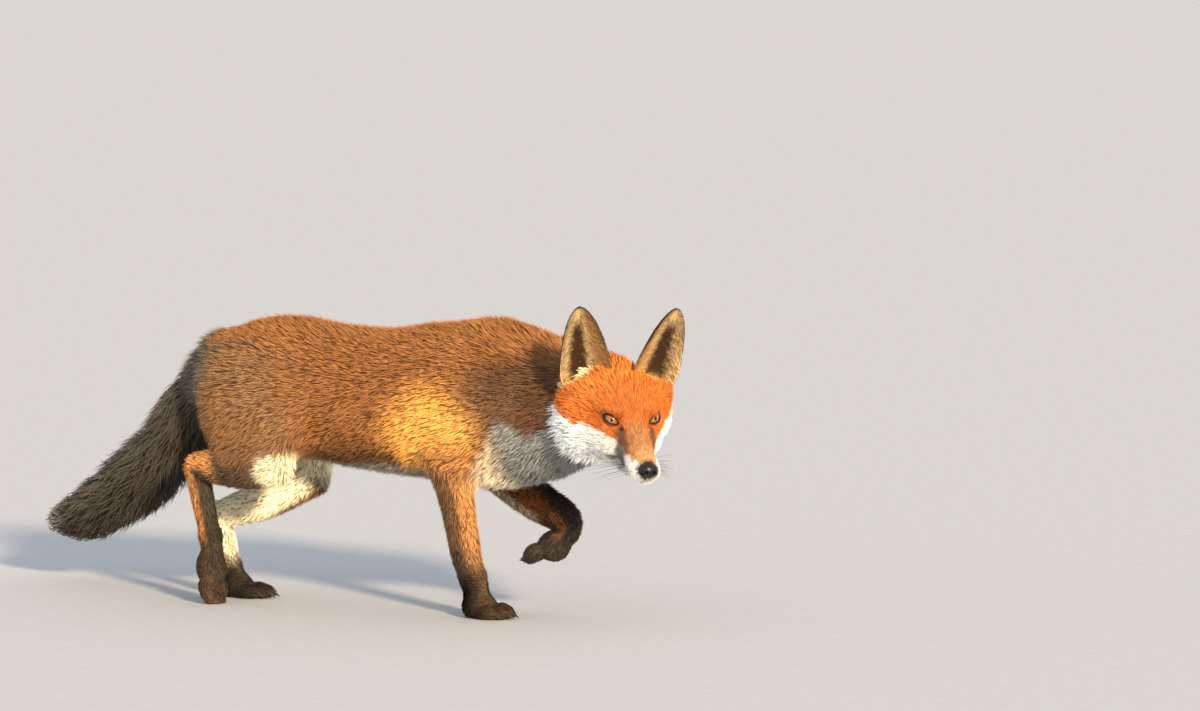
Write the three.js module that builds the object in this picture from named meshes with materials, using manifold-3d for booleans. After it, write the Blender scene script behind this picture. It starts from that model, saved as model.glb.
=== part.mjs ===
// A red fox, life size, walking low with its head turned to its right: a still model in the coat's outline.
// Millimetres. The fox faces +X, its left is +Y, and +Z is up. The floor is z = 0.
// The body is one smooth field, negative inside, made of lofts and ellipsoids that melt together. Each
// sub-part is the piece of it that lies in that sub-part's own region, so the parts meet at thin cuts.
import * as THREE from "three";
import { mergeVertices } from "three/addons/utils/BufferGeometryUtils.js";
import Module from "manifold-3d";

const wasm = await Module();
wasm.setup();

// ---- driving dimensions ----
const GAP = 0.35; // between parts that touch
const SEAM = 15; // how far a limb's own region stands out round the limb
const MIDLINE = 1; // a leg's own piece starts this far from the middle of the body
const LIMB_TOP = { front: 262, hind: 276 }; // where a leg's own piece ends, high in the shoulder or haunch
const HEAD = { eyes: [353, -88, 228], yaw: -42, pitch: 15 }; // midpoint between the eyes, and degrees
const EYE = { centre: [-4, 21.5, 3], radius: 9.6 };
const NOSE = { centre: [65.5, 0, -30], radii: [8, 10, 8.5] };
const EAR = {
  root: [-52, 35, 20],
  left: [-45, 55, 113],
  right: [-45, -55, 118],
  halfWidth: 31,
  cup: 0.6,
  wall: 4.2,
  levels: 7,
  spans: 6,
};
const CLAW = { length: 11, radius: 2.3, sides: 6 };
const CLAW_DROP = { start: -8, slope: 0.35 }; // below the foot's middle, and down for each unit forwards
const BALL_RINGS = 6; // facets from pole to pole of an eye or the nose
const CELL = { trunk: 26, neck: 21, tail: 23, leg: 17, head: 11, paw: 9, seam: 33 }; // mesh size
// How wide a crease is filled where two forms melt together.
const MELT = { skull: 16, muzzle: 14, face: 9, hollow: 7, neck: 40, head: 26, limb: 26, tail: 24, knee: 22 };
const FOOT_MELT = { toes: 4, instep: 9, ankle: 8 };

// ---- small vector helpers ----
const add = (a, b) => [a[0] + b[0], a[1] + b[1], a[2] + b[2]];
const sub = (a, b) => [a[0] - b[0], a[1] - b[1], a[2] - b[2]];
const scale = (a, s) => [a[0] * s, a[1] * s, a[2] * s];
const dot = (a, b) => a[0] * b[0] + a[1] * b[1] + a[2] * b[2];
const cross = (a, b) => [
  a[1] * b[2] - a[2] * b[1],
  a[2] * b[0] - a[0] * b[2],
  a[0] * b[1] - a[1] * b[0],
];
const size = (a) => Math.sqrt(dot(a, a));
const unit = (a) => scale(a, 1 / size(a));
const mix = (a, b, t) => add(a, scale(sub(b, a), t));
const radians = THREE.MathUtils.degToRad;

// ---- fields ----
// How far a point given in the axes of an ellipse or ellipsoid is from it, close to true near its surface.
function ellipseDistance(offset, radii) {
  const shares = [offset[0] / radii[0], offset[1] / radii[1], offset[2] / radii[2]];
  const near = size(shares);
  const steep = size([shares[0] / radii[0], shares[1] / radii[1], shares[2] / radii[2]]);
  return near < 1e-6 ? -Math.min(...radii) : (near * (near - 1)) / steep;
}

function ellipsoid(centre, radii) {
  return (p) => ellipseDistance(sub(p, centre), radii);
}

// A loft along stations { at, across, deep }: half its size sideways and half its size in the other
// direction. A smooth curve passes through the stations, and side says which way is sideways.
function loft(stations, side = [0, 1, 0], endSide = side, steps = 4) {
  const rows = stations.map((s) => [...s.at, s.across, s.deep]);
  const points = [];
  for (let i = 0; i + 1 < rows.length; i++) {
    const [before, from, to, after] = [i - 1, i, i + 1, i + 2].map(
      (k) => rows[Math.min(Math.max(k, 0), rows.length - 1)],
    );
    for (let k = 0; k < steps; k++) {
      const t = k / steps;
      points.push(
        from.map((v, j) => {
          const slopeIn = (to[j] - before[j]) / 2;
          const slopeOut = (after[j] - v) / 2;
          const bend = [2 * v - 2 * to[j] + slopeIn + slopeOut, 3 * to[j] - 3 * v - 2 * slopeIn - slopeOut];
          return ((bend[0] * t + bend[1]) * t + slopeIn) * t + v;
        }),
      );
    }
  }
  points.push(rows.at(-1));
  const segments = points.slice(1).map((end, i) => {
    const start = points[i];
    const along = sub(end, start);
    const axis = unit(along);
    const turn = mix(side, endSide, i / Math.max(points.length - 2, 1));
    const across = unit(sub(turn, scale(axis, dot(turn, axis))));
    const [length, middle] = [size(along), mix(start, end, 0.5)];
    const reach = length / 2 + Math.max(start[3], start[4], end[3], end[4]);
    return { start, end, axis, across, deep: cross(axis, across), length, middle, reach };
  });
  return (p) => {
    let nearest = Infinity;
    for (const s of segments) {
      if (size(sub(p, s.middle)) - s.reach > nearest) continue;
      const from = sub(p, s.start);
      const along = dot(from, s.axis);
      const t = Math.min(Math.max(along / s.length, 0), 1);
      const across = s.start[3] + (s.end[3] - s.start[3]) * t;
      const deep = s.start[4] + (s.end[4] - s.start[4]) * t;
      const offset = [dot(from, s.across), dot(from, s.deep), along - t * s.length];
      nearest = Math.min(nearest, ellipseDistance(offset, [across, deep, Math.min(across, deep)]));
    }
    return nearest;
  };
}

// Fields a and b joined, with the crease between them filled over a width of about melt.
function joined(a, b, melt) {
  const h = Math.max(melt - Math.abs(a - b), 0) / melt;
  return Math.min(a, b) - (h * h * melt) / 4;
}

const common = (a, b, melt) => -joined(-a, -b, melt);
const allJoined = (melt, ...fields) => (p) => fields.map((f) => f(p)).reduce((a, b) => joined(a, b, melt));
const carved = (field, tool, melt) => (p) => common(field(p), -tool(p), melt);
const grown = (field, by) => (p) => field(p) - by;

// ---- the skeleton's landmarks, each station half as wide and deep as the coat there ----
const at = (x, y, z, across, deep = across) => ({ at: [x, y, z], across, deep });

const trunk = loft([
  at(-216, 0, 244, 36, 36),
  at(-184, 0, 246, 56, 56),
  at(-130, 0, 241, 69, 77),
  at(-60, 0, 233, 66, 78),
  at(10, 0, 229, 69, 81),
  at(80, 0, 232, 74, 88),
  at(140, 0, 229, 68, 86),
  at(188, -2, 228, 52, 70),
]);

const headAxes = (() => {
  const [yaw, pitch] = [radians(HEAD.yaw), radians(HEAD.pitch)];
  const forward = [Math.cos(pitch) * Math.cos(yaw), Math.cos(pitch) * Math.sin(yaw), -Math.sin(pitch)];
  const left = [-Math.sin(yaw), Math.cos(yaw), 0];
  return { forward, left, up: cross(forward, left) };
})();
const toHead = (p) => {
  const d = sub(p, HEAD.eyes);
  return [dot(d, headAxes.forward), dot(d, headAxes.left), dot(d, headAxes.up)];
};
const fromHead = ([x, y, z]) =>
  add(HEAD.eyes, add(add(scale(headAxes.forward, x), scale(headAxes.left, y)), scale(headAxes.up, z)));

const neck = loft(
  [at(140, 0, 236, 62, 80), at(200, -6, 232, 60, 74), at(248, -25, 235, 57, 66), at(297, -52, 242, 52, 58)],
  [0, 1, 0],
  headAxes.left,
);

// The head, in its own axes: x forward from between the eyes, y left, z up.
const bothSides = (build) => [build(1), build(-1)];
const headForm = (() => {
  const skull = allJoined(
    MELT.skull,
    ellipsoid([-34, 0, 2], [44, 42, 32]),
    ...bothSides((s) => ellipsoid([-44, s * 30, -12], [28, 27, 30])),
    ...bothSides((s) => ellipsoid([-14, s * 19, -20], [28, 19, 24])),
    ...bothSides((s) => ellipsoid([-52, s * 44, 14], [15, 17, 17])),
  );
  const muzzle = loft([
    at(-24, 0, -4, 32, 22),
    at(4, 0, -14, 25, 24),
    at(26, 0, -25, 18, 20),
    at(46, 0, -30, 14.5, 15),
    at(63, 0, -32, 10.5, 10),
  ]);
  const jaw = loft([at(-20, 0, -44, 26, 13), at(20, 0, -46, 15, 8), at(54, 0, -43, 8, 6)]);
  const brows = bothSides((s) => ellipsoid([-3, s * 21, 10], [13, 10, 6]));
  const lipPads = bothSides((s) => ellipsoid([49, s * 8, -35], [14, 7.5, 8]));
  const full = allJoined(MELT.face, allJoined(MELT.muzzle, skull, muzzle), jaw, ...brows, ...lipPads);
  const hollows = bothSides((s) => ellipsoid([9, s * 28, 2], [9, 12, 7]));
  return hollows.reduce((form, hollow) => carved(form, hollow, MELT.hollow), full);
})();
const head = (p) => headForm(toHead(p));

// ---- limbs: hip or shoulder first, then down to where the paw starts ----
const LEGS = {
  front_right: {
    upper: [at(112, -34, 280, 18, 34), at(150, -46, 238, 24, 42), at(112, -50, 184, 20, 30)],
    lower: [at(101, -46, 172, 17, 26), at(105, -34, 120, 14, 21), at(110, -24, 66, 13.5, 18)],
    wrist: [115, -20, 44, 13.5, 15],
    ankleDown: [0.25, 0.1, -1],
  },
  front_left: {
    upper: [at(112, 34, 280, 18, 34), at(150, 46, 236, 24, 42), at(112, 50, 182, 20, 32)],
    lower: [at(104, 50, 158, 18, 31), at(152, 47, 126, 14.5, 26), at(194, 44, 106, 13, 19)],
    wrist: [194, 48, 92, 12.5, 13.5],
    ankleDown: [-0.6, 0.3, -1],
  },
  hind_right: {
    upper: [at(-166, -36, 262, 26, 46), at(-152, -43, 218, 30, 64), at(-126, -51, 176, 27, 54)],
    lower: [at(-116, -54, 162, 22, 34), at(-170, -49, 152, 16, 23), at(-214, -43, 150, 12.5, 17)],
    shank: [at(-220, -42, 144, 12, 15.5), at(-214, -39, 106, 11, 13.5)],
    wrist: [-208, -36, 74, 11, 12.5],
    ankleDown: [0.15, 0.05, -1],
  },
  hind_left: {
    upper: [at(-166, 36, 260, 26, 46), at(-158, 43, 212, 30, 62), at(-138, 50, 160, 27, 46)],
    lower: [at(-136, 51, 142, 23, 33), at(-184, 45, 110, 17, 24), at(-231, 38, 92, 13, 17)],
    shank: [at(-240, 36, 88, 12.5, 15.5), at(-232, 33, 60, 12, 13.5)],
    wrist: [-226, 31, 38, 12, 12.5],
    ankleDown: [0.3, 0, -1],
  },
};

// ---- paws: a pad, four toes and their claws round a foot's own axes ----
const PAWS = {
  front_right: { ball: [126, -19, 13.5], forward: [1, -0.08, -0.04], up: [0, 0, 1], spread: 1, reach: 1 },
  front_left: {
    ball: [173, 54, 72],
    forward: [-0.84, 0.18, -0.5],
    up: [0.5, 0.1, -0.84],
    spread: 0.86,
    reach: 1,
  },
  hind_right: { ball: [-204, -37, 36], forward: [0.3, 0, -1], up: [1, 0, 0.3], spread: 0.86, reach: 1.2 },
  hind_left: { ball: [-214, 33, 13.5], forward: [1, 0.08, -0.04], up: [0, 0, 1], spread: 0.92, reach: 1.1 },
};
const TOES = [-15, -5.5, 5.5, 15].map((side) => ({ side, reach: Math.abs(side) > 10 ? 15 : 24 }));
const TOE_SIZE = [15, 7, 9.5];

function footAxes(paw) {
  const forward = unit(paw.forward);
  const left = unit(cross(paw.up, forward));
  return { forward, left, up: cross(forward, left) };
}
const footPoint = (paw, x, y, z) => {
  const axes = footAxes(paw);
  return add(paw.ball, add(add(scale(axes.forward, x), scale(axes.left, y)), scale(axes.up, z)));
};

function pawForm(leg, paw) {
  const axes = footAxes(paw);
  const local = (p) => {
    const d = sub(p, paw.ball);
    return [dot(d, axes.forward), dot(d, axes.left), dot(d, axes.up)];
  };
  const toes = TOES.map((toe) => ellipsoid([toe.reach * paw.reach, toe.side * paw.spread, -6], TOE_SIZE));
  const pad = ellipsoid([-2, 0, -3], [20, 18 * paw.spread, 15]);
  const foot = allJoined(FOOT_MELT.toes, pad, ...toes);
  const instep = loft([
    { at: leg.wrist.slice(0, 3), across: leg.wrist[3], deep: leg.wrist[4] },
    { at: footPoint(paw, -4, 0, 2), across: 15 * paw.spread, deep: 13 },
  ]);
  return (p) => joined(foot(local(p)), instep(p), FOOT_MELT.instep);
}

const legForms = Object.fromEntries(
  Object.entries(LEGS).map(([name, leg]) => {
    const [x, y, z, across, deep] = leg.wrist;
    const upper = loft(leg.upper);
    const lower = loft([...leg.lower, ...(leg.shank ?? []), at(x, y, z, across, deep)]);
    const paw = pawForm(leg, PAWS[name]);
    const whole = (p) => joined(joined(upper(p), lower(p), MELT.knee), paw(p), FOOT_MELT.ankle);
    return [name, { whole, paw }];
  }),
);

// ---- tail ----
const tail = loft([
  at(-208, 2, 270, 27, 27),
  at(-248, 14, 227, 40, 40),
  at(-293, 32, 171, 42, 42),
  at(-340, 50, 133, 44, 44),
  at(-391, 68, 101, 39, 39),
  at(-440, 85, 77, 31, 31),
  at(-481, 97, 68, 17, 17),
]);

// ---- the whole body: each limb melts into the trunk, and never into another limb ----
const neckAndTrunk = (p) => joined(trunk(p), neck(p), MELT.neck);
const body = (p) => {
  const core = neckAndTrunk(p);
  const limbs = Object.values(legForms).map((form) => joined(core, form.whole(p), MELT.limb));
  return Math.min(...limbs, joined(core, tail(p), MELT.tail), joined(core, head(p), MELT.head));
};

// ---- meshing: a point in each cell that the surface crosses, moved onto the surface ----
function surfaceOf(field, low, high, cell) {
  const counts = low.map((v, i) => Math.ceil((high[i] - v) / cell) + 1);
  const point = (i, j, k) => [low[0] + i * cell, low[1] + j * cell, low[2] + k * cell];
  const index = (i, j, k) => (i * counts[1] + j) * counts[2] + k;
  const values = new Float64Array(counts[0] * counts[1] * counts[2]);
  const eachOf = (size, visit) => {
    for (let i = 0; i < size[0]; i++)
      for (let j = 0; j < size[1]; j++) for (let k = 0; k < size[2]; k++) visit(i, j, k);
  };
  eachOf(counts, (i, j, k) => (values[index(i, j, k)] = field(point(i, j, k))));

  const steps = [[1, 0, 0], [0, 1, 0], [0, 0, 1]];
  const corners = Array.from({ length: 8 }, (_, c) => [c & 1, (c >> 1) & 1, (c >> 2) & 1]);
  const edges = corners.flatMap((corner, c) =>
    [0, 1, 2].filter((axis) => corner[axis] === 0).map((axis) => [c, c + 2 ** axis]),
  );
  // One point for each group of inside corners that touch, so that surfaces close together stay apart.
  const pointOf = new Map();
  const points = [];
  const cells = counts.map((n) => n - 1);
  eachOf(cells, (i, j, k) => {
    const here = [i, j, k];
    const inside = corners.map((c) => values[index(...add(here, c))] < 0);
    const group = corners.map((_, c) => c);
    for (const [from, to] of edges)
      if (inside[from] && inside[to]) {
        const [keep, drop] = [group[from], group[to]];
        group.forEach((g, c) => (group[c] = g === drop ? keep : g));
      }
    const crossings = new Map();
    for (const [from, to] of edges) {
      if (inside[from] === inside[to]) continue;
      const [start, end] = [add(here, corners[from]), add(here, corners[to])];
      const [a, b] = [values[index(...start)], values[index(...end)]];
      const own = group[inside[from] ? from : to];
      crossings.set(own, [...(crossings.get(own) ?? []), mix(point(...start), point(...end), a / (a - b))]);
    }
    for (const [own, spots] of crossings) {
      const middle = scale(spots.reduce(add), 1 / spots.length);
      corners.forEach((_, c) => {
        if (inside[c] && group[c] === own) pointOf.set(index(i, j, k) * 8 + c, points.length);
      });
      points.push(ontoSurface(field, middle, cell));
    }
  });

  const triangles = [];
  eachOf(cells, (i, j, k) => {
    steps.forEach((step, axis) => {
      const here = [i, j, k];
      const starts = values[index(i, j, k)] < 0;
      if (starts === values[index(...add(here, step))] < 0) return;
      const [second, third] = [steps[(axis + 1) % 3], steps[(axis + 2) % 3]];
      const insideEnd = starts ? here : add(here, step);
      const ring = [here, sub(here, second), sub(sub(here, second), third), sub(here, third)];
      const quad = ring.map((c) => {
        const corner = sub(insideEnd, c);
        return pointOf.get(index(...c) * 8 + corner[0] + 2 * corner[1] + 4 * corner[2]);
      });
      if (!starts) quad.reverse();
      const span = (a, b) => size(sub(points[quad[a]], points[quad[b]]));
      const [a, b, c, d] = span(0, 2) < span(1, 3) ? [0, 1, 2, 3] : [1, 2, 3, 0];
      triangles.push(quad[a], quad[b], quad[c], quad[a], quad[c], quad[d]);
    });
  });
  return solidFrom(points.flat(), triangles);
}

// A few Newton steps along the field's slope, none longer than a part of the cell.
function ontoSurface(field, start, cell) {
  const tiny = 0.2;
  const slopeAt = (p) => {
    const value = field(p);
    return [0, 1, 2].map((axis) => {
      const ahead = [...p];
      ahead[axis] += tiny;
      return (field(ahead) - value) / tiny;
    });
  };
  let p = start;
  for (let step = 0; step < 4; step++) {
    const slope = slopeAt(p);
    const move = -field(p) / Math.max(dot(slope, slope), 0.25);
    p = add(p, slope.map((v) => Math.min(Math.max(v * move, -cell / 4), cell / 4)));
  }
  return p;
}

// ---- solids ----
function solidFrom(positions, triangles) {
  return new wasm.Manifold(
    new wasm.Mesh({
      numProp: 3,
      vertProperties: new Float32Array(positions),
      triVerts: new Uint32Array(triangles),
    }),
  );
}

function solidOf(geometry) {
  const bare = geometry.index ? geometry.toNonIndexed() : geometry;
  const merged = mergeVertices(
    new THREE.BufferGeometry().setAttribute("position", bare.getAttribute("position")),
    1e-3,
  );
  return solidFrom(merged.attributes.position.array, merged.index.array);
}

const LEAST_SLANT = 0.25; // a corner sharper than this is moved no further out than this one

// The solid with every face moved out by at least the gap, which leaves room for the solid itself.
function roomFor(solid) {
  const { vertProperties, triVerts, numProp, numVert } = solid.getMesh();
  const points = Array.from({ length: numVert }, (_, i) => {
    const first = i * numProp;
    return [...vertProperties.slice(first, first + 3)];
  });
  const facing = points.map(() => []);
  for (let i = 0; i < triVerts.length; i += 3) {
    const [a, b, c] = triVerts.slice(i, i + 3);
    const normal = unit(cross(sub(points[b], points[a]), sub(points[c], points[a])));
    for (const corner of [a, b, c]) facing[corner].push(normal);
  }
  const moved = points.map((p, i) => {
    const out = unit(facing[i].reduce(add));
    const slant = Math.max(Math.min(...facing[i].map((normal) => dot(normal, out))), LEAST_SLANT);
    return add(p, scale(out, GAP / slant));
  });
  return solidFrom(moved.flat(), triVerts);
}

function geometryOf(solid) {
  const mesh = solid.getMesh();
  const positions = new Float32Array(mesh.numVert * 3);
  for (let i = 0; i < mesh.numVert; i++)
    positions.set(mesh.vertProperties.subarray(i * mesh.numProp, i * mesh.numProp + 3), i * 3);
  const geometry = new THREE.BufferGeometry();
  geometry.setAttribute("position", new THREE.BufferAttribute(positions, 3));
  geometry.setIndex(new THREE.BufferAttribute(mesh.triVerts, 1));
  return geometry;
}

// The part of the body that lies in a region: both are meshed, so that the cut between them is sharp.
function pieceIn(region, field, box, cell) {
  const near = (p) => Math.max(field(p), region(p) - cell);
  return surfaceOf(near, ...box, cell).intersect(surfaceOf(region, ...box, CELL.seam));
}

function boxRound(points, margin) {
  const low = [0, 1, 2].map((i) => Math.min(...points.map((p) => p[i])) - margin);
  const high = [0, 1, 2].map((i) => Math.max(...points.map((p) => p[i])) + margin);
  return [low, high];
}

const mainBody = (solid) => solid.decompose().reduce((a, b) => (a.volume() > b.volume() ? a : b));
const without = (solid, tools) => tools.reduce((left, tool) => left.subtract(tool), solid);

// The two sides of a cut through a point, square to a direction, half a gap apart.
const ahead = (solid, point, direction) =>
  solid.trimByPlane(direction, dot(unit(direction), point) + GAP / 2);
const behind = (solid, point, direction) => ahead(solid, point, scale(direction, -1));

// ---- flesh: each region's box, and the cuts between neighbours as a point and a direction ----
const LIMB_ROOM = 105; // round a leg's stations
const TAIL_BOX = [[-530, -70, -20], [-140, 180, 350]];
const TRUNK_BOX = [[-300, -110, 90], [340, 110, 350]];
const NECK_BOX = [[120, -160, 100], [360, 110, 350]];
const HEAD_BOX = boxRound([fromHead([-40, 0, 5]), fromHead([10, 0, -10])], 100);
const NECK_SPAN = [150, 330]; // the neck's own mesh runs between these
const TRUNK_END = 235; // and the trunk's mesh ends here
const CORE_MARGIN = 24; // how far the trunk and neck own what melts into them
const NECK_CUT = [[192, -4, 230], [0.96, -0.14, 0.05]];
const HEAD_CUT = [fromHead([-64, 0, 0]), headAxes.forward];
const HEAD_MIDDLE = fromHead([-20, 0, -5]);
const HEAD_REACH = 112;
const PAW_REACH = 62;

const limbs = Object.entries(LEGS).map(([name, leg]) => {
  const side = name.endsWith("left") ? 1 : -1;
  const top = LIMB_TOP[name.split("_")[0]];
  const whole = legForms[name].whole;
  const region = (p) => common(common(whole(p) - SEAM, MIDLINE - side * p[1], SEAM), p[2] - top, SEAM);
  const stations = [...leg.upper, ...leg.lower, ...(leg.shank ?? [])].map((s) => s.at);
  const box = boxRound([...stations, leg.wrist.slice(0, 3), PAWS[name].ball], LIMB_ROOM);
  return { name, leg, region, box, socket: roomFor(surfaceOf(region, ...box, CELL.seam)) };
});
const tailRegion = grown(tail, SEAM);
const tailSocket = roomFor(surfaceOf(tailRegion, ...TAIL_BOX, CELL.seam));
const limbSockets = [...limbs.map((limb) => limb.socket), tailSocket];
const coreRegion = grown(neckAndTrunk, CORE_MARGIN);

// ---- head pieces, made in the head's own axes ----
function inHead(geometry) {
  const turn = new THREE.Matrix4().makeBasis(
    ...[headAxes.forward, headAxes.left, headAxes.up].map((axis) => new THREE.Vector3(...axis)),
  );
  return geometry.applyMatrix4(turn.setPosition(...HEAD.eyes));
}

function ball(centre, radii) {
  const sphere = new THREE.SphereGeometry(1, BALL_RINGS * 2, BALL_RINGS);
  return solidOf(inHead(sphere.scale(...radii).translate(...centre)));
}

function claws(paw) {
  const axes = footAxes(paw);
  return TOES.map((toe) => {
    const reach = toe.reach * paw.reach + TOE_SIZE[0] + CLAW.length / 4;
    const middle = footPoint(paw, reach, toe.side * paw.spread, CLAW_DROP.start);
    const along = unit(sub(axes.forward, scale(axes.up, CLAW_DROP.slope)));
    const direction = new THREE.Vector3(...along);
    const turn = new THREE.Quaternion().setFromUnitVectors(new THREE.Vector3(0, 1, 0), direction);
    const cone = new THREE.CylinderGeometry(CLAW.radius / 5, CLAW.radius, CLAW.length, CLAW.sides);
    return solidOf(cone.applyQuaternion(turn).translate(...middle));
  });
}

// An ear is a stack of crescents: a curved back, and a front hollow that is one wall's thickness inside it.
function ear(side) {
  const root = [EAR.root[0], EAR.root[1] * side, EAR.root[2]];
  const tip = side > 0 ? EAR.left : EAR.right;
  const length = size(sub(tip, root));
  const axis = unit(sub(tip, root));
  const opening = [1, side * 0.2, -0.1]; // the hollow faces ahead and a little outwards
  const across = unit(cross(axis, opening));
  const front = cross(across, axis);
  const { levels, spans } = EAR;
  const rings = Array.from({ length: levels + 1 }, (_, level) => {
    const up = Math.sin(((level / levels) * Math.PI) / 2);
    const taper = Math.sqrt(Math.max(1 - up ** 2.2, 0)) * (1 - 0.18 * up) * Math.min(1, 0.82 + up);
    const half = EAR.halfWidth * taper + 0.6;
    const middle = add(root, scale(axis, up * length));
    const bow = EAR.cup * half;
    const wall = Math.min(EAR.wall, half * 0.9);
    const back = Array.from({ length: spans + 1 }, (_, i) => {
      const v = (2 * i) / spans - 1;
      return [half * v, -bow * (1 - v * v)];
    });
    const inner = back.slice(1, -1).reverse().map(([u, depth]) => [u * (1 - wall / 3 / half), depth + wall]);
    return [...back, ...inner].map(([u, d]) => add(middle, add(scale(across, u), scale(front, d))));
  });
  return solidOf(inHead(skinOf(rings, spans)));
}

// A closed surface through rings of equal count; the first and last are closed across from back to front.
function skinOf(rings, spans) {
  const count = rings[0].length;
  const triangles = [];
  const id = (level, i) => level * count + (i % count);
  for (let level = 0; level + 1 < rings.length; level++)
    for (let i = 0; i < count; i++)
      triangles.push(
        [id(level, i), id(level + 1, i + 1), id(level, i + 1)],
        [id(level, i), id(level + 1, i), id(level + 1, i + 1)],
      );
  for (const [level, flip] of [[0, false], [rings.length - 1, true]])
    for (let i = 0; i < spans; i++) {
      const [a, b] = [id(level, i), id(level, i + 1)];
      const [c, d] = [id(level, (count - i) % count), id(level, count - i - 1)];
      for (const face of [[a, b, d], [a, d, c]])
        if (new Set(face).size === 3) triangles.push(flip ? face.reverse() : face);
    }
  const geometry = new THREE.BufferGeometry();
  geometry.setAttribute("position", new THREE.Float32BufferAttribute(rings.flat(2), 3));
  return geometry.setIndex(triangles.flat());
}

const nearHead = (p) => Math.max(body(p), size(sub(p, HEAD_MIDDLE)) - HEAD_REACH);
const wholeHead = ahead(surfaceOf(nearHead, ...HEAD_BOX, CELL.head), ...HEAD_CUT);
const inCore = (p) => Math.max(body(p), coreRegion(p));
const nearNeck = (p) => Math.max(inCore(p), NECK_SPAN[0] - p[0], p[0] - NECK_SPAN[1]);
const wholeNeck = surfaceOf(nearNeck, ...NECK_BOX, CELL.neck);
const wholeTrunk = surfaceOf((p) => Math.max(inCore(p), p[0] - TRUNK_END), ...TRUNK_BOX, CELL.trunk);
const eyeCentre = (side) => [EYE.centre[0], side * EYE.centre[1], EYE.centre[2]];
const eyes = [1, -1].map((side) => ball(eyeCentre(side), [EYE.radius, EYE.radius, EYE.radius]));
const nose = ball(NOSE.centre, NOSE.radii);

const nodes = {
  trunk: mainBody(without(behind(wholeTrunk, ...NECK_CUT), limbSockets)),
  neck: mainBody(without(ahead(behind(wholeNeck, ...HEAD_CUT), ...NECK_CUT), limbSockets)),
  tail: mainBody(pieceIn(tailRegion, body, TAIL_BOX, CELL.tail)),
  head: mainBody(without(wholeHead, [...eyes, nose].map(roomFor))),
  nose,
};
const underEars = [roomFor(nodes.head), roomFor(nodes.neck)];
[nodes.ear_left, nodes.ear_right] = [1, -1].map((side) => mainBody(without(ear(side), underEars)));
[nodes.eye_left, nodes.eye_right] = eyes;
for (const { name, leg, region, box } of limbs) {
  const wrist = leg.wrist.slice(0, 3);
  const rear = name.startsWith("hind") ? [tailSocket] : [];
  const centre = add(mix(wrist, PAWS[name].ball, 0.5), scale(footAxes(PAWS[name]).forward, PAW_REACH / 4));
  const nearPaw = (p) => Math.max(legForms[name].whole(p), size(sub(p, centre)) - PAW_REACH);
  const paw = surfaceOf(nearPaw, ...boxRound([centre], PAW_REACH + CELL.paw), CELL.paw);
  const upper = behind(pieceIn(region, body, box, CELL.leg), wrist, leg.ankleDown);
  nodes[`leg_${name}`] = mainBody(without(upper, rear));
  const lower = claws(PAWS[name]).reduce((whole, claw) => whole.add(claw), ahead(paw, wrist, leg.ankleDown));
  nodes[`paw_${name}`] = mainBody(lower.trimByPlane([0, 0, 1], 0));
}

// ---- the finished group: standing on z = 0, centred on its own box ----
const COAT = { roughness: 0.85, metalness: 0 };
const COLOURS = {
  trunk: 0x9a5a2e, neck: 0x8f5630, tail: 0x4a3a30, head: 0xc9702c, nose: 0x17120f,
  ear: 0x2a211c, eye: 0xb9731c, leg: 0x7c4526, paw: 0x1f1714,
};
const SHINE = { nose: 0.35, eye: 0.12 };

const group = new THREE.Group();
for (const [name, solid] of Object.entries(nodes)) {
  const kind = name.split("_")[0];
  const material = new THREE.MeshStandardMaterial({ ...COAT, color: COLOURS[kind] });
  material.roughness = SHINE[kind] ?? COAT.roughness;
  const mesh = new THREE.Mesh(geometryOf(solid), material);
  mesh.name = name;
  group.add(mesh);
}
const whole = new THREE.Box3().setFromObject(group);
const middle = whole.getCenter(new THREE.Vector3());
group.position.set(-middle.x, -middle.y, -whole.min.z);

export default group;
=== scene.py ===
"""A red fox, life size and still: one skin, a coat of solid tufts, and its eyes, nose, claws and whiskers.

Lengths here are millimetres in the fox's own axes: it walks along +X, its left is +Y, the floor is z = 0.
placed() turns them into the frame's metres. The head has axes of its own: forward, left and up from
between the eyes. Every form is a field, negative inside, as in the solids, which reach the coat's tips.
The skin lies inside them by each station's coat depth.
"""
import math

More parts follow.
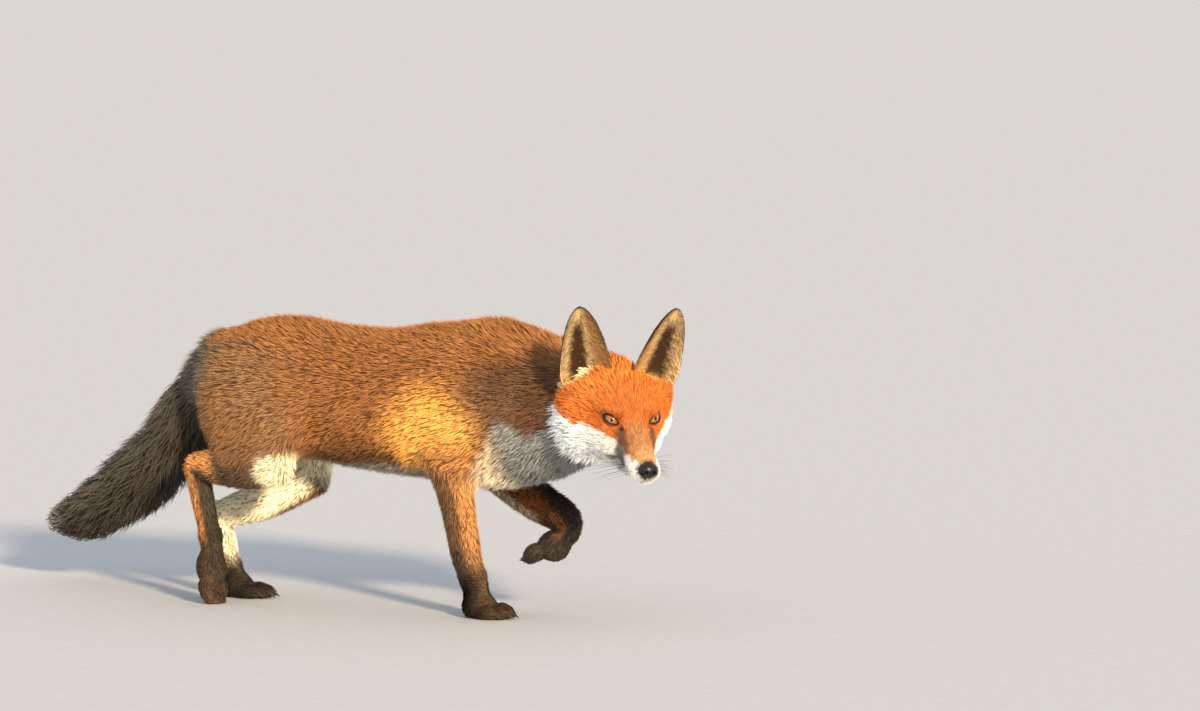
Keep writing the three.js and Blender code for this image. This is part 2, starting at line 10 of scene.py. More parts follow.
import bpy
import numpy as np
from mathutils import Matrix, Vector


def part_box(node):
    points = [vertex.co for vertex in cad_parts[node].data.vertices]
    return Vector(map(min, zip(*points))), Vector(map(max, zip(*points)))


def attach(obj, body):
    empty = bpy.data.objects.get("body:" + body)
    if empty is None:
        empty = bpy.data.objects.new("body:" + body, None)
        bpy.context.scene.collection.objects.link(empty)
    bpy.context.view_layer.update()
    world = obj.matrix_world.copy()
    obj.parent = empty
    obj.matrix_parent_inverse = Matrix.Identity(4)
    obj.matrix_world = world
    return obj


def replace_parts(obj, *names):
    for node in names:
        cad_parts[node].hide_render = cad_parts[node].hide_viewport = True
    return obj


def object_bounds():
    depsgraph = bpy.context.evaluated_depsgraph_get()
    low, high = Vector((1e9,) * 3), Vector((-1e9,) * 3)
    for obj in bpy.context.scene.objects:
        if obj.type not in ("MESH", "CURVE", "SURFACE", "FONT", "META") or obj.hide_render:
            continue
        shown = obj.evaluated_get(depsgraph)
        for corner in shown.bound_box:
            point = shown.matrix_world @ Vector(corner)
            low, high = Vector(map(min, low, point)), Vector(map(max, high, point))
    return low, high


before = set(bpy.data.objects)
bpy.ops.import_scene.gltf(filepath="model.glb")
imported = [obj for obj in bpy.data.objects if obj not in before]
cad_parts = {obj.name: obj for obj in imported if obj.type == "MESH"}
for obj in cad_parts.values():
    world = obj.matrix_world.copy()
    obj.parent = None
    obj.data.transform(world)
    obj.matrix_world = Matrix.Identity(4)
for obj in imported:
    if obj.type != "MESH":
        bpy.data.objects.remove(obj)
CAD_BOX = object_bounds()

# ---------------------------------------------------------------- the fox's shape
# Stations are x, y, z, half across, half deep, coat depth.
TRUNK = [
    (-216, 0, 244, 36, 36, 8), (-184, 0, 246, 56, 56, 8), (-130, 0, 241, 69, 77, 8),
    (-60, 0, 233, 66, 78, 7.5), (10, 0, 229, 69, 81, 7.5), (80, 0, 232, 74, 88, 8),
    (140, 0, 229, 68, 86, 8), (188, -2, 228, 52, 70, 9),
]
NECK = [
    (140, 0, 236, 62, 80, 9), (200, -6, 232, 60, 74, 10), (248, -25, 235, 57, 66, 10), (297, -52, 242, 52, 58, 9),
]
TAIL = [
    (-208, 2, 270, 27, 27, 15), (-248, 14, 227, 40, 40, 25), (-293, 32, 171, 42, 42, 27),
    (-340, 50, 133, 44, 44, 29), (-391, 68, 101, 39, 39, 27), (-440, 85, 77, 31, 31, 22), (-481, 97, 68, 17, 17, 12),
]
MUZZLE = [
    (-24, 0, -4, 32, 22, 4), (4, 0, -14, 25, 24, 2.6), (26, 0, -25, 18, 20, 1.6), (46, 0, -30, 14.5, 15, 1.1),
    (63, 0, -32, 10.5, 10, 0.8),
]
JAW = [(-20, 0, -44, 26, 13, 7), (20, 0, -46, 15, 8, 2.5), (54, 0, -43, 8, 6, 1)]
LEGS = {
    "front_right": dict(
        upper=[(112, -34, 280, 18, 34, 7), (150, -46, 238, 24, 42, 7), (112, -50, 184, 20, 30, 6)],
        lower=[(101, -46, 172, 17, 26, 5), (105, -34, 120, 14, 21, 3.5), (110, -24, 66, 13.5, 18, 2.6)],
        wrist=(115, -20, 44, 13.5, 15, 2.5),
    ),
    "front_left": dict(
        upper=[(112, 34, 280, 18, 34, 7), (150, 46, 236, 24, 42, 7), (112, 50, 182, 20, 32, 6)],
        lower=[(104, 50, 158, 18, 31, 6), (152, 47, 126, 14.5, 26, 5), (194, 44, 106, 13, 19, 3)],
        wrist=(194, 48, 92, 12.5, 13.5, 2.5),
    ),
    "hind_right": dict(
        upper=[(-166, -36, 262, 26, 46, 8), (-152, -43, 218, 30, 64, 8), (-126, -51, 176, 27, 54, 8)],
        lower=[
            (-116, -54, 162, 22, 34, 7), (-170, -49, 152, 16, 23, 4), (-214, -43, 150, 12.5, 17, 2.6),
            (-220, -42, 144, 12, 15.5, 2.6), (-214, -39, 106, 11, 13.5, 2.4),
        ],
        wrist=(-208, -36, 74, 11, 12.5, 2.2),
    ),
    "hind_left": dict(
        upper=[(-166, 36, 260, 26, 46, 8), (-158, 43, 212, 30, 62, 8), (-138, 50, 160, 27, 46, 8)],
        lower=[
            (-136, 51, 142, 23, 33, 6), (-184, 45, 110, 17, 24, 4), (-231, 38, 92, 13, 17, 2.6),
            (-240, 36, 88, 12.5, 15.5, 2.6), (-232, 33, 60, 12, 13.5, 2.4),
        ],
        wrist=(-226, 31, 38, 12, 12.5, 2.2),
    ),
}
PAWS = {
    "front_right": dict(ball=(126, -19, 13.5), forward=(1, -0.08, -0.04), up=(0, 0, 1), spread=1, reach=1),
    "front_left": dict(ball=(173, 54, 72), forward=(-0.84, 0.18, -0.5), up=(0.5, 0.1, -0.84), spread=0.86, reach=1),
    "hind_right": dict(ball=(-204, -37, 36), forward=(0.3, 0, -1), up=(1, 0, 0.3), spread=0.86, reach=1.2),
    "hind_left": dict(ball=(-214, 33, 13.5), forward=(1, 0.08, -0.04), up=(0, 0, 1), spread=0.92, reach=1.1),
}
TOES = [(-15, 15), (-5.5, 24), (5.5, 24), (15, 15)]  # sideways, forwards
TOE_RADII = (15, 7, 9.5)
PAW_COAT = 1.2
HEAD_EYES, HEAD_YAW, HEAD_PITCH = (353, -88, 228), -42, 15
EYE_CENTRE, EYE_RADIUS = (-4, 21.5, 3), 9.6
NOSE_CENTRE, NOSE_RADII = (65.5, 0, -30), (8, 10, 8.5)
EAR_ROOT, EAR_TIPS = (-52, 35, 20), {1: (-45, 55, 113), -1: (-45, -55, 118)}
EAR_HALF_WIDTH, EAR_CUP = 31, 0.6
FAR = 45.0  # beyond this a form's field isn't worked out


def unit(v):
    v = np.asarray(v, float)
    return v / np.maximum(np.linalg.norm(v, axis=-1, keepdims=True), 1e-9)


def square_to(v, axis):
    """v without its share along the axis, as a unit vector."""
    return unit(v - axis * (v * axis).sum(1, keepdims=True))


def smooth(value, low, high):
    """0 at low, 1 at high, with soft ends. low may be above high."""
    t = np.clip((value - low) / (high - low), 0, 1)
    return t * t * (3 - 2 * t)


def head_axes():
    yaw, pitch = math.radians(HEAD_YAW), math.radians(HEAD_PITCH)
    forward = np.array([math.cos(pitch) * math.cos(yaw), math.cos(pitch) * math.sin(yaw), -math.sin(pitch)])
    left = np.array([-math.sin(yaw), math.cos(yaw), 0])
    return np.array([forward, left, np.cross(forward, left)])


HEAD = head_axes()
EYES = np.array(HEAD_EYES, float)


def to_head(p):
    return (p - EYES) @ HEAD.T


def from_head(h):
    return EYES + np.asarray(h, float) @ HEAD


def frame_shift():
    """What to add to a point in the fox's own axes for the frame's millimetres: the eyes' boxes say."""
    boxes = np.array([[list(corner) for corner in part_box(name)] for name in ("eye_left", "eye_right")])
    return boxes.reshape(-1, 3).mean(0) * 1000 - from_head((EYE_CENTRE[0], 0, EYE_CENTRE[2]))


SHIFT = frame_shift()


def placed(p):
    return (np.asarray(p, float) + SHIFT) / 1000


# ---------------------------------------------------------------- fields
def ellipse_distance(offset, radii):
    shares = offset / radii
    near = np.linalg.norm(shares, axis=1)
    steep = np.linalg.norm(shares / radii, axis=1)
    inner = -np.min(radii, axis=-1) * np.ones(len(offset))
    return np.where(near < 1e-6, inner, near * (near - 1) / np.maximum(steep, 1e-9))


def joined(a, b, melt):
    h = np.maximum(melt - np.abs(a - b), 0) / melt
    return np.minimum(a, b) - h * h * melt / 4


def carved(a, tool, melt):
    return -joined(-a, tool, melt)


class Ellipsoid:
    def __init__(self, centre, radii, coat=0.0):
        self.centre, self.radii = np.array(centre, float), np.array(radii, float) - coat

    def __call__(self, p):
        return ellipse_distance(p - self.centre, self.radii)


class Loft:
    """Elliptic sections along a smooth curve through the stations."""

    def __init__(self, stations, bare, side=(0, 1, 0), end_side=None, steps=4):
        rows = self.curve(np.array(stations, float), steps)
        half = rows[:, 3:5] - rows[:, 5:6] * bare
        self.start, self.end = rows[:-1, :3], rows[1:, :3]
        self.half_start, self.half_end = half[:-1], half[1:]
        along = self.end - self.start
        self.length = np.linalg.norm(along, axis=1)
        self.axis = along / self.length[:, None]
        share = np.linspace(0, 1, len(along))[:, None]
        turn = np.array(side) * (1 - share) + np.array(end_side if end_side is not None else side) * share
        self.across = square_to(turn, self.axis)
        self.deep = np.cross(self.axis, self.across)
        self.middle = (self.start + self.end) / 2
        self.reach = self.length / 2 + half.max()

    @staticmethod
    def curve(rows, steps):
        out = []
        for i in range(len(rows) - 1):
            before, a, b, after = (rows[min(max(k, 0), len(rows) - 1)] for k in range(i - 1, i + 3))
            slope_in, slope_out = (b - before) / 2, (after - a) / 2
            cubic, square = 2 * a - 2 * b + slope_in + slope_out, 3 * b - 3 * a - 2 * slope_in - slope_out
            out += [((cubic * t + square) * t + slope_in) * t + a for t in np.arange(steps) / steps]
        return np.array(out + [rows[-1]])

    def measure(self, p):
        """The field at p, and the loft's own direction there."""
        best = np.full(len(p), FAR)
        lie = np.tile(self.axis[0], (len(p), 1))
        for i in range(len(self.start)):
            gap = p - self.middle[i]
            near = np.flatnonzero((gap * gap).sum(1) < (self.reach[i] + FAR) ** 2)
            if not len(near):
                continue
            offset = p[near] - self.start[i]
            along = offset @ self.axis[i]
            t = np.clip(along / self.length[i], 0, 1)
            half = self.half_start[i] + (self.half_end[i] - self.half_start[i]) * t[:, None]
            local = np.stack([offset @ self.across[i], offset @ self.deep[i], along - t * self.length[i]], 1)
            value = ellipse_distance(local, np.column_stack([half, half.min(1)]))
            closer = value < best[near]
            best[near[closer]] = value[closer]
            lie[near[closer]] = self.axis[i]
        return best, lie

    def __call__(self, p):
        return self.measure(p)[0]


def both(build):
    return [build(1), build(-1)]


def foot_axes(paw):
    forward = unit(paw["forward"])
    left = unit(np.cross(paw["up"], forward))
    return np.array([forward, left, np.cross(forward, left)])


def foot_point(paw, x, y, z):
    return np.array(paw["ball"], float) + np.array([x, y, z]) @ foot_axes(paw)


class Head:
    """The head's own field. bare is 1 for the skin and 0 for the coat's tips."""

    def __init__(self, bare):
        def form(centre, radii, coat):
            return Ellipsoid(centre, radii, coat * bare)

        self.skull = [
            form((-34, 0, 2), (44, 42, 32), 4.5),
            *both(lambda s: form((-44, s * 30, -12), (28, 27, 30), 8)),
            *both(lambda s: form((-14, s * 19, -20), (28, 19, 24), 3.5)),
            *both(lambda s: form((-52, s * 44, 14), (15, 17, 17), 4)),
        ]
        self.muzzle, self.jaw = Loft(MUZZLE, bare), Loft(JAW, bare)
        self.pads = [
            *both(lambda s: form((-3, s * 21, 10), (13, 10, 6), 1)),
            *both(lambda s: form((49, s * 8, -35), (14, 7.5, 8), 0.8)),
        ]
        self.hollows = both(lambda s: form((9, s * 28, 2), (9, 12, 7), 0))
        self.bare = bare

    def __call__(self, p):
        h = to_head(p)
        value = self.skull[0](h)
        for form in self.skull[1:]:
            value = joined(value, form(h), 16)
        value = joined(value, self.muzzle(h), 14)
        value = joined(value, self.jaw(h), 9)
        for form in self.pads:
            value = joined(value, form(h), 9)
        for hollow in self.hollows:
            value = carved(value, hollow(h), 7)
        if self.bare:
            value = carved(value, mouth_line(h) - MOUTH_RADIUS, 1.5)
            value = carved(value, ellipse_distance(h - NOSE_SEAT[0], NOSE_SEAT[1]), 1)
            for side in (1, -1):
                value = carved(value, eye_opening(h, side), 2)
                value = carved(value, ear_hollow(h, side), 6)
        return value


class Leg:
    def __init__(self, name, bare):
        leg, paw = LEGS[name], PAWS[name]
        self.upper = Loft(leg["upper"], bare)
        self.lower = Loft([*leg["lower"], leg["wrist"]], bare)
        self.paw, self.axes = paw, foot_axes(paw)
        coat = PAW_COAT * bare
        self.toes = [
            Ellipsoid((reach * paw["reach"], side * paw["spread"], -6), TOE_RADII, coat) for side, reach in TOES
        ]
        self.pad = Ellipsoid((-2, 0, -3), (20, 18 * paw["spread"], 15), coat)
        end = (*foot_point(paw, -4, 0, 2), 15 * paw["spread"], 13, PAW_COAT)
        self.instep = Loft([leg["wrist"], end], bare)

    def foot(self, p):
        local = (p - np.array(self.paw["ball"])) @ self.axes.T
        value = self.pad(local)
        for toe in self.toes:
            value = joined(value, toe(local), 4)
        return joined(value, self.instep(p), 9)

    def __call__(self, p):
        return joined(joined(self.upper(p), self.lower(p), 22), self.foot(p), 8)


class Fox:
    def __init__(self, bare):
        self.bare = bare
        self.trunk = Loft(TRUNK, bare)
        self.neck = Loft(NECK, bare, (0, 1, 0), HEAD[1])
        self.tail = Loft(TAIL, bare)
        self.head = Head(bare)
        self.legs = {name: Leg(name, bare) for name in LEGS}

    def __call__(self, p):
        core = joined(self.trunk(p), self.neck(p), 40)
        value = joined(core, self.tail(p), 24)
        value = np.minimum(value, joined(core, self.head(p), 26))
        for leg in self.legs.values():
            value = np.minimum(value, joined(core, leg(p), 26))
        if self.bare:
            h = to_head(p)
            for side in (1, -1):
                value = carved(value, ear_hollow(h, side), 6)
        return value


def slope(field, p, step=0.4):
    """The field at p, and how fast it rises each way."""
    value = field(p)
    return value, np.stack([field(p + step * e) - value for e in np.eye(3)], 1) / step


# ---------------------------------------------------------------- mouth and eyes, in the head's axes
MOUTH = np.array([(66, 0, -40), (60, 7, -40.5), (48, 12, -40), (32, 15.5, -40), (18, 18.5, -39), (8, 21, -37)], float)
MOUTH_RADIUS = 0.9
LID_OUT = {1: (0.80, 0.52, 0.30), -1: (0.80, -0.52, 0.30)}  # which way each eye's opening faces
LID_HALF_WIDTH, LID_UP, LID_DOWN = 9.0, 3.5, 3.3
LID_SLANT = math.radians(20)  # the inner corner lies lower
GAZE = {1: (0.93, 0.26, 0.27), -1: (0.90, -0.34, 0.27)}


def path_distance(h, path):
    """How far points are from a chain of straight stretches."""
    best = np.full(len(h), np.inf)
    for a, b in zip(path[:-1], path[1:]):
        t = np.clip(((h - a) @ (b - a)) / ((b - a) @ (b - a)), 0, 1)
        best = np.minimum(best, np.linalg.norm(h - a - t[:, None] * (b - a), axis=1))
    return best


def folded(h):
    """The points mirrored to the left side."""
    return h * [1, 0, 1] + np.abs(h) * [0, 1, 0]


def mouth_line(h):
    return path_distance(folded(h), MOUTH)


def lid_axes(side):
    """Rows: out of the eye, towards the nose along the slit, and up across it."""
    out = unit(LID_OUT[side])
    inward = unit(np.cross((0, 0, 1), out) * -side)
    up = np.cross(inward, out) * -side
    up = up * np.sign(up[2])
    slit = math.cos(LID_SLANT) * inward - math.sin(LID_SLANT) * up
    return np.array([out, slit, math.cos(LID_SLANT) * up + math.sin(LID_SLANT) * inward])


def eye_middle(side):
    return np.array([EYE_CENTRE[0], EYE_CENTRE[1] * side, EYE_CENTRE[2]])


def eye_opening(h, side):
    """A hole in the skin in front of the eye, a little wider than the lids' edge."""
    local = (h - eye_middle(side)) @ lid_axes(side).T
    return ellipse_distance(local - [12, 0, 0], np.array([14, LID_HALF_WIDTH + 1.2, LID_UP + 1.6]))


NOSE_SEAT = np.array([(67.5, 0, -30), (8.5, 8.8, 7.4)])  # the hollow that the nose fills
EAR_HOLLOW = np.array([(29.8, -3, 2), (21, 35, 19)])  # up the ear, towards the crown and ahead
EAR_HOLLOW_SLANT = (0.35, 0.5)  # its floor rises towards the crown and ahead


def ear_frame(side):
    """Root, axis to the tip, across, ahead and length, in the head's axes."""
    root = np.array([EAR_ROOT[0], EAR_ROOT[1] * side, EAR_ROOT[2]], float)
    tip = np.array(EAR_TIPS[side], float)
    axis = unit(tip - root)
    across = unit(np.cross(axis, (1, side * 0.2, -0.1)))
    return root, axis, across, np.cross(across, axis), np.linalg.norm(tip - root)


def ear_hollow(h, side):
    root, axis, across, front, _ = ear_frame(side)
    local = (h - root) @ np.array([axis, -side * across, front]).T
    local[:, 0] -= local[:, 1:] @ EAR_HOLLOW_SLANT
    return ellipse_distance(local - EAR_HOLLOW[0], EAR_HOLLOW[1])


def near_eye(h):
    """How close points are to either eye's opening: 1 at its edge."""
    value = np.full(len(h), np.inf)
    for side in (1, -1):
        local = (h - eye_middle(side)) @ lid_axes(side).T
        reach = np.hypot(local[:, 1] / (LID_HALF_WIDTH + 1.2), local[:, 2] / (LID_UP + 1.5))
        value = np.where(local[:, 0] > 0, np.minimum(value, reach), value)
    return value


def near_nose(h):
    """How far points are from the nose's middle: 1 at its surface."""
    return np.linalg.norm((h - NOSE_CENTRE) / np.array(NOSE_RADII), axis=1)


SKIN, COAT = Fox(1), Fox(0)


# ---------------------------------------------------------------- a surface from a field
CORNERS = np.array([(i, j, k) for i in (0, 1) for j in (0, 1) for k in (0, 1)])


def coded(cells):
    return ((cells[:, 0] + 4096) << 40) + ((cells[:, 1] + 4096) << 20) + cells[:, 2] + 4096


def near_cells(field, low, high, cell, halvings):
    """The cells of a lattice that the surface may cross, found from coarse to fine."""
    big = cell * 2**halvings
    first, last = np.floor(np.array(low) / big).astype(int), np.ceil(np.array(high) / big).astype(int)
    ranges = [np.arange(a, b) for a, b in zip(first, last)]
    cells = np.stack(np.meshgrid(*ranges, indexing="ij"), -1).reshape(-1, 3)
    for level in range(halvings + 1):
        edge = cell * 2 ** (halvings - level)
        near = np.abs(field((cells + 0.5) * edge)) < edge * 1.25
        cells = cells[near]
        if level < halvings:
            cells = (cells[:, None] * 2 + CORNERS[None]).reshape(-1, 3)
    return cells


def surface(field, low, high, cell, halvings=3):
    """Vertices and quads: one vertex in each cell that the surface crosses, moved onto it."""
    cells = near_cells(field, low, high, cell, halvings)
    corners = (cells[:, None] + CORNERS[None]).reshape(-1, 3)
    _, first, back = np.unique(coded(corners), return_index=True, return_inverse=True)
    values = field(corners[first] * float(cell))
    at_corner = values[back].reshape(-1, 8)
    mixed = (at_corner.min(1) < 0) & (at_corner.max(1) >= 0)
    cells, at_corner = cells[mixed], at_corner[mixed]
    total, count = np.zeros((len(cells), 3)), np.zeros(len(cells))
    for a in range(8):
        for b in range(a + 1, 8):
            if np.abs(CORNERS[a] - CORNERS[b]).sum() != 1:
                continue
            crossed = (at_corner[:, a] < 0) != (at_corner[:, b] < 0)
            va, vb = at_corner[crossed, a], at_corner[crossed, b]
            t = (va / (va - vb))[:, None]
            total[crossed] += CORNERS[a] * (1 - t) + CORNERS[b] * t
            count[crossed] += 1
    points = onto(field, (cells + total / count[:, None]) * cell, cell)

    order = np.argsort(coded(cells))
    sorted_keys = coded(cells)[order]

    def owner(where):
        wanted = coded(where)
        found = np.minimum(np.searchsorted(sorted_keys, wanted), len(order) - 1)
        return np.where(sorted_keys[found] == wanted, order[found], -1)

    quads = []
    for axis in range(3):
        step, second, third = np.eye(3, dtype=int)[[axis, (axis + 1) % 3, (axis + 2) % 3]]
        far = int(np.flatnonzero((CORNERS == step).all(1))[0])
        inside, crossed = at_corner[:, 0] < 0, (at_corner[:, 0] < 0) != (at_corner[:, far] < 0)
        here = cells[crossed]
        ring = np.stack([owner(here), owner(here - second), owner(here - second - third), owner(here - third)], 1)
        ring[~inside[crossed]] = ring[~inside[crossed]][:, ::-1]
        quads.append(ring[(ring >= 0).all(1)])
    return points, np.concatenate(quads)


def onto(field, points, cell, rounds=2):
    for _ in range(rounds):
        value, steep = slope(field, points)
        move = -steep * (value / np.maximum((steep * steep).sum(1), 0.25))[:, None]
        points = points + np.clip(move, -cell / 3, cell / 3)
    return points


def refined(points, quads, chosen, field, cell):
    """The chosen quads split in four, with the new vertices on the surface except along the chosen edge."""
    keep, split = quads[~chosen], quads[chosen]
    edges = np.sort(np.stack([split, np.roll(split, -1, 1)], -1).reshape(-1, 2), 1)
    pairs, where, uses = np.unique(edges, axis=0, return_inverse=True, return_counts=True)
    middles = points[pairs].mean(1)
    centres = points[split].mean(1)
    inner = uses == 2
    middles[inner] = onto(field, middles[inner], cell, 1)
    centres = onto(field, centres, cell, 1)
    edge_ids = where.reshape(-1, 4) + len(points)
    centre_ids = np.arange(len(split)) + len(points) + len(pairs)
    parts = [
        np.stack([split[:, i], edge_ids[:, i], centre_ids, edge_ids[:, i - 1]], 1) for i in range(4)
    ]
    return np.concatenate([points, middles, centres]), np.concatenate([keep, *parts])


def ring_quads(rings, count):
    """The quads between rings of so many points, one ring after the other."""
    i, j = np.meshgrid(np.arange(rings - 1), np.arange(count), indexing="ij")
    a, b = i * count + j, i * count + (j + 1) % count
    return np.stack([a, b, b + count, a + count], -1).reshape(-1, 4)


def quad_facing(points, quads):
    """Each quad's normal, twice as long as its area."""
    corner = points[quads]
    return np.cross(corner[:, 2] - corner[:, 0], corner[:, 3] - corner[:, 1])


def merged(meshes):
    """Meshes made one: their points, their quads, and what else they hold for each point."""
    starts = np.cumsum([0] + [len(mesh[0]) for mesh in meshes])
    points, quads, *rest = zip(*meshes)
    quads = [rows + start for rows, start in zip(quads, starts)]
    return [np.concatenate(rows) for rows in (points, quads, *rest)]


def ripple(p, wavelength, seed):
    """A smooth random value at each point, mostly between -1 and 1."""
    rng = np.random.default_rng(seed)
    total = 0
    for _ in range(7):
        wave = rng.normal(size=3)
        wave *= 2 * math.pi / (np.linalg.norm(wave) * wavelength * rng.uniform(0.7, 1.5))
        total = total + np.sin(p @ wave + rng.uniform(0, 6.28))
    return total / 3.2


# ---------------------------------------------------------------- markings with painted shade and light, shared by skin and coat
ORANGE = (0.44, 0.115, 0.017)
FACE = (0.54, 0.135, 0.017)
BACK = (0.25, 0.095, 0.028)
FLANK = (0.20, 0.072, 0.017)
# golden shoulder fur, drawn brighter than its own colour as painted sunlight on the shoulder's bulge
SHOULDER_GOLD_AND_SUNLIGHT = (0.66, 0.29, 0.056)
HAUNCH = (0.18, 0.083, 0.031)
# painted shadow: the neck's brown darkened for the head's shadow on the neck and the nape
NECK_BROWN_IN_SHADE = (0.085, 0.035, 0.013)
# painted shade where the flank turns under the body
LOW_FLANK_SHADE = (0.08, 0.034, 0.011)
RUMP = (0.085, 0.072, 0.054)
BELLY = (0.22, 0.19, 0.145)
CHEST = (0.80, 0.64, 0.42)
WHITE = (0.86, 0.83, 0.77)
# painted shadow: the throat's white darkened to grey for the head's shadow on it
THROAT_WHITE_IN_SHADE = (0.15, 0.15, 0.14)
CREAM = (0.92, 0.63, 0.31)
KNEE = (0.95, 0.80, 0.52)
MUZZLE_TAN = (0.44, 0.185, 0.065)
MUZZLE_END = (0.62, 0.30, 0.12)
SMOKE = (0.075, 0.055, 0.042)
BLACK = (0.018, 0.014, 0.012)
TAIL_TOP = (0.062, 0.052, 0.036)
# the tail's darker hair, also used as painted shade on the tail's underside
TAIL_DARK_AND_UNDER_SHADE = (0.028, 0.022, 0.015)
TAIL_TIP = (0.20, 0.19, 0.165)
LEG_DARK = (0.04, 0.028, 0.017)
LEG_ORANGE = (0.46, 0.19, 0.055)
EAR_DARK = (0.075, 0.034, 0.014)
EAR_MEDIAL = (0.74, 0.37, 0.11)

# The neck's white: its upper edge along x, and its rear edge up z.
WHITE_TOP = [(140, 190), (165, 206), (185, 226), (215, 213), (250, 219), (270, 236), (300, 246)]
WHITE_REAR = [(150, 120), (165, 134), (180, 150), (200, 168), (226, 184)]
LEG_TOPS = {"front": 200, "hind": 236}  # where the legs' colours meet the body's
# The cheek's white lies below this height, along the head's x.
CHEEK_EDGE = [(-60, -1), (-50, -3), (-25, -9), (-5, -11), (12, -13), (20, -17), (35, -22), (50, -24.5), (60, -25)]


def along_line(value, line):
    return np.interp(value, *np.transpose(line))


def painted(base, colour, mask):
    return base + (np.array(colour) - base) * np.clip(mask, 0, 1)[:, None]


def layered(p, base, coats):
    """A colour for each point: the base, and each coat of paint over it where its mask says."""
    tint = np.tile(np.array(base), (len(p), 1))
    for colour, mask in coats:
        tint = painted(tint, colour, mask)
    return tint


def mixed(first, second, share):
    """Two colours for each point made one: share 0 gives the first and 1 the second."""
    return first * (1 - share[:, None]) + second * share[:, None]


def part_shares(p):
    """How much each part owns each point, from the parts' own fields."""
    fields = {"trunk": SKIN.trunk(p), "neck": SKIN.neck(p), "tail": SKIN.tail(p), "head": SKIN.head(p)}
    fields |= {name: leg(p) for name, leg in SKIN.legs.items()}
    names = list(fields)
    values = np.stack([fields[name] for name in names])
    weight = np.exp(-(values - values.min(0)) / 6)
    return dict(zip(names, weight / weight.sum(0)))


def body_colour(p):
    wander, edge = ripple(p, 60, 3), 2.5 * ripple(p, 12, 4)
    x, z = p[:, 0] + 8 * wander, p[:, 2] + 5 * wander
    top, rear = along_line(p[:, 0], WHITE_TOP), along_line(p[:, 2], WHITE_REAR)
    below = smooth(p[:, 2] + edge, top + 5, top - 5)
    ahead = smooth(p[:, 0] + edge, rear - 5, rear + 5)
    return layered(p, FLANK, [
        (BACK, smooth(z, 258, 302)),
        (HAUNCH, smooth(x, -50, -130) * smooth(z, 305, 268)),
        # a golden shoulder, brightened with painted sunlight
        (SHOULDER_GOLD_AND_SUNLIGHT, smooth(np.hypot((x - 105) / 85, (z - 200) / 75), 1.1, 0.3)),
        (RUMP, smooth(x, -180, -208) * 0.9),
        # painted shade low on the flank, where it curves under
        (LOW_FLANK_SHADE, smooth(z, 202, 172) * smooth(x, -90, -50) * smooth(x, 70, 40)),
        (BELLY, smooth(z, 176, 160) * smooth(x, -130, -90)),
        # painted shadow of the head on the side of the neck
        (NECK_BROWN_IN_SHADE, smooth(x, 130, 185) * smooth(z, 292, 270)),
        # the white throat, drawn grey as painted shadow
        (THROAT_WHITE_IN_SHADE, below * ahead),
        (CHEST, below * ahead * smooth(x, 185, 155) * 0.8),
    ])


def leg_colour(p, name):
    """All four feet are black-brown, with dark bands that run up the legs and pale inner sides."""
    side = 1 if name.endswith("left") else -1
    out = side * (p[:, 1] - 40 * side)  # how far to the leg's outer side
    x, z = p[:, 0], p[:, 2] + 4 * ripple(p, 30, 5)
    ahead = ahead_of(SKIN.legs[name].lower, p)
    if name == "front_right":
        return layered(p, LEG_ORANGE, [
            (FLANK, smooth(z, 140, 205)),
            (LEG_DARK, smooth(ahead, 9, 2) * smooth(z, 190, 140) * 0.75),
            (LEG_DARK, smooth(z, 96, 44) * 0.9),
        ])
    if name == "front_left":
        return layered(p, FLANK, [
            (CREAM, smooth(-out, 3, 12) * smooth(x, 170, 130)),
            (LEG_DARK, np.maximum(smooth(x, 160, 182) * 0.92, smooth(z, 102, 92))),
            (LEG_DARK, smooth(ahead, 9, 15) * smooth(x, 120, 150) * 0.9),
            (LEG_ORANGE, smooth(np.abs(ahead + 3), 8, 3) * smooth(x, 168, 182) * smooth(z, 76, 92) * 0.5),
            (CHEST, smooth(ahead, -8, -14) * smooth(x, 172, 155) * smooth(z, 98, 112) * 0.7),
        ])
    hock = 166 if side < 0 else 108  # the shank is orange below this
    band = hock - 12
    knee = np.linalg.norm((p - [-86, 58 * side, 150]) / [40, 44, 30], axis=1)
    inner = smooth(-out, -6, 4) * smooth(z, 34, 60) * smooth(z, 186, 160) * 0.9
    return layered(p, HAUNCH, [
        (LEG_DARK, smooth(z, hock + 6, hock - 10) * smooth(x, -196, -172) * 0.8),
        (LEG_ORANGE, smooth(x, -176, -196) * smooth(z, hock + 10, hock - 6)),
        (LEG_DARK, smooth(ahead, -2, 3.5) * smooth(z, band, band - 12) * smooth(x, -176, -196)),
        (KNEE, inner * (side > 0)),
        (KNEE, smooth(knee, 1.15, 0.7)),
        (LEG_DARK, smooth(z, 84, 52) * 0.9 if side < 0 else smooth(z, 46, 26)),
    ])


def ahead_of(loft, p):
    """How far points lie ahead of a loft's middle line, across its own direction."""
    best, ahead = np.full(len(p), np.inf), np.zeros(len(p))
    for start, end, axis, deep in zip(loft.start, loft.end, loft.axis, loft.deep):
        t = np.clip(((p - start) @ axis) / np.linalg.norm(end - start), 0, 1)
        offset = p - start - t[:, None] * (end - start)
        gap = (offset * offset).sum(1)
        closer = gap < best
        best[closer] = gap[closer]
        forward = deep if deep[0] > 0 else -deep
        ahead[closer] = offset[closer] @ forward
    return ahead


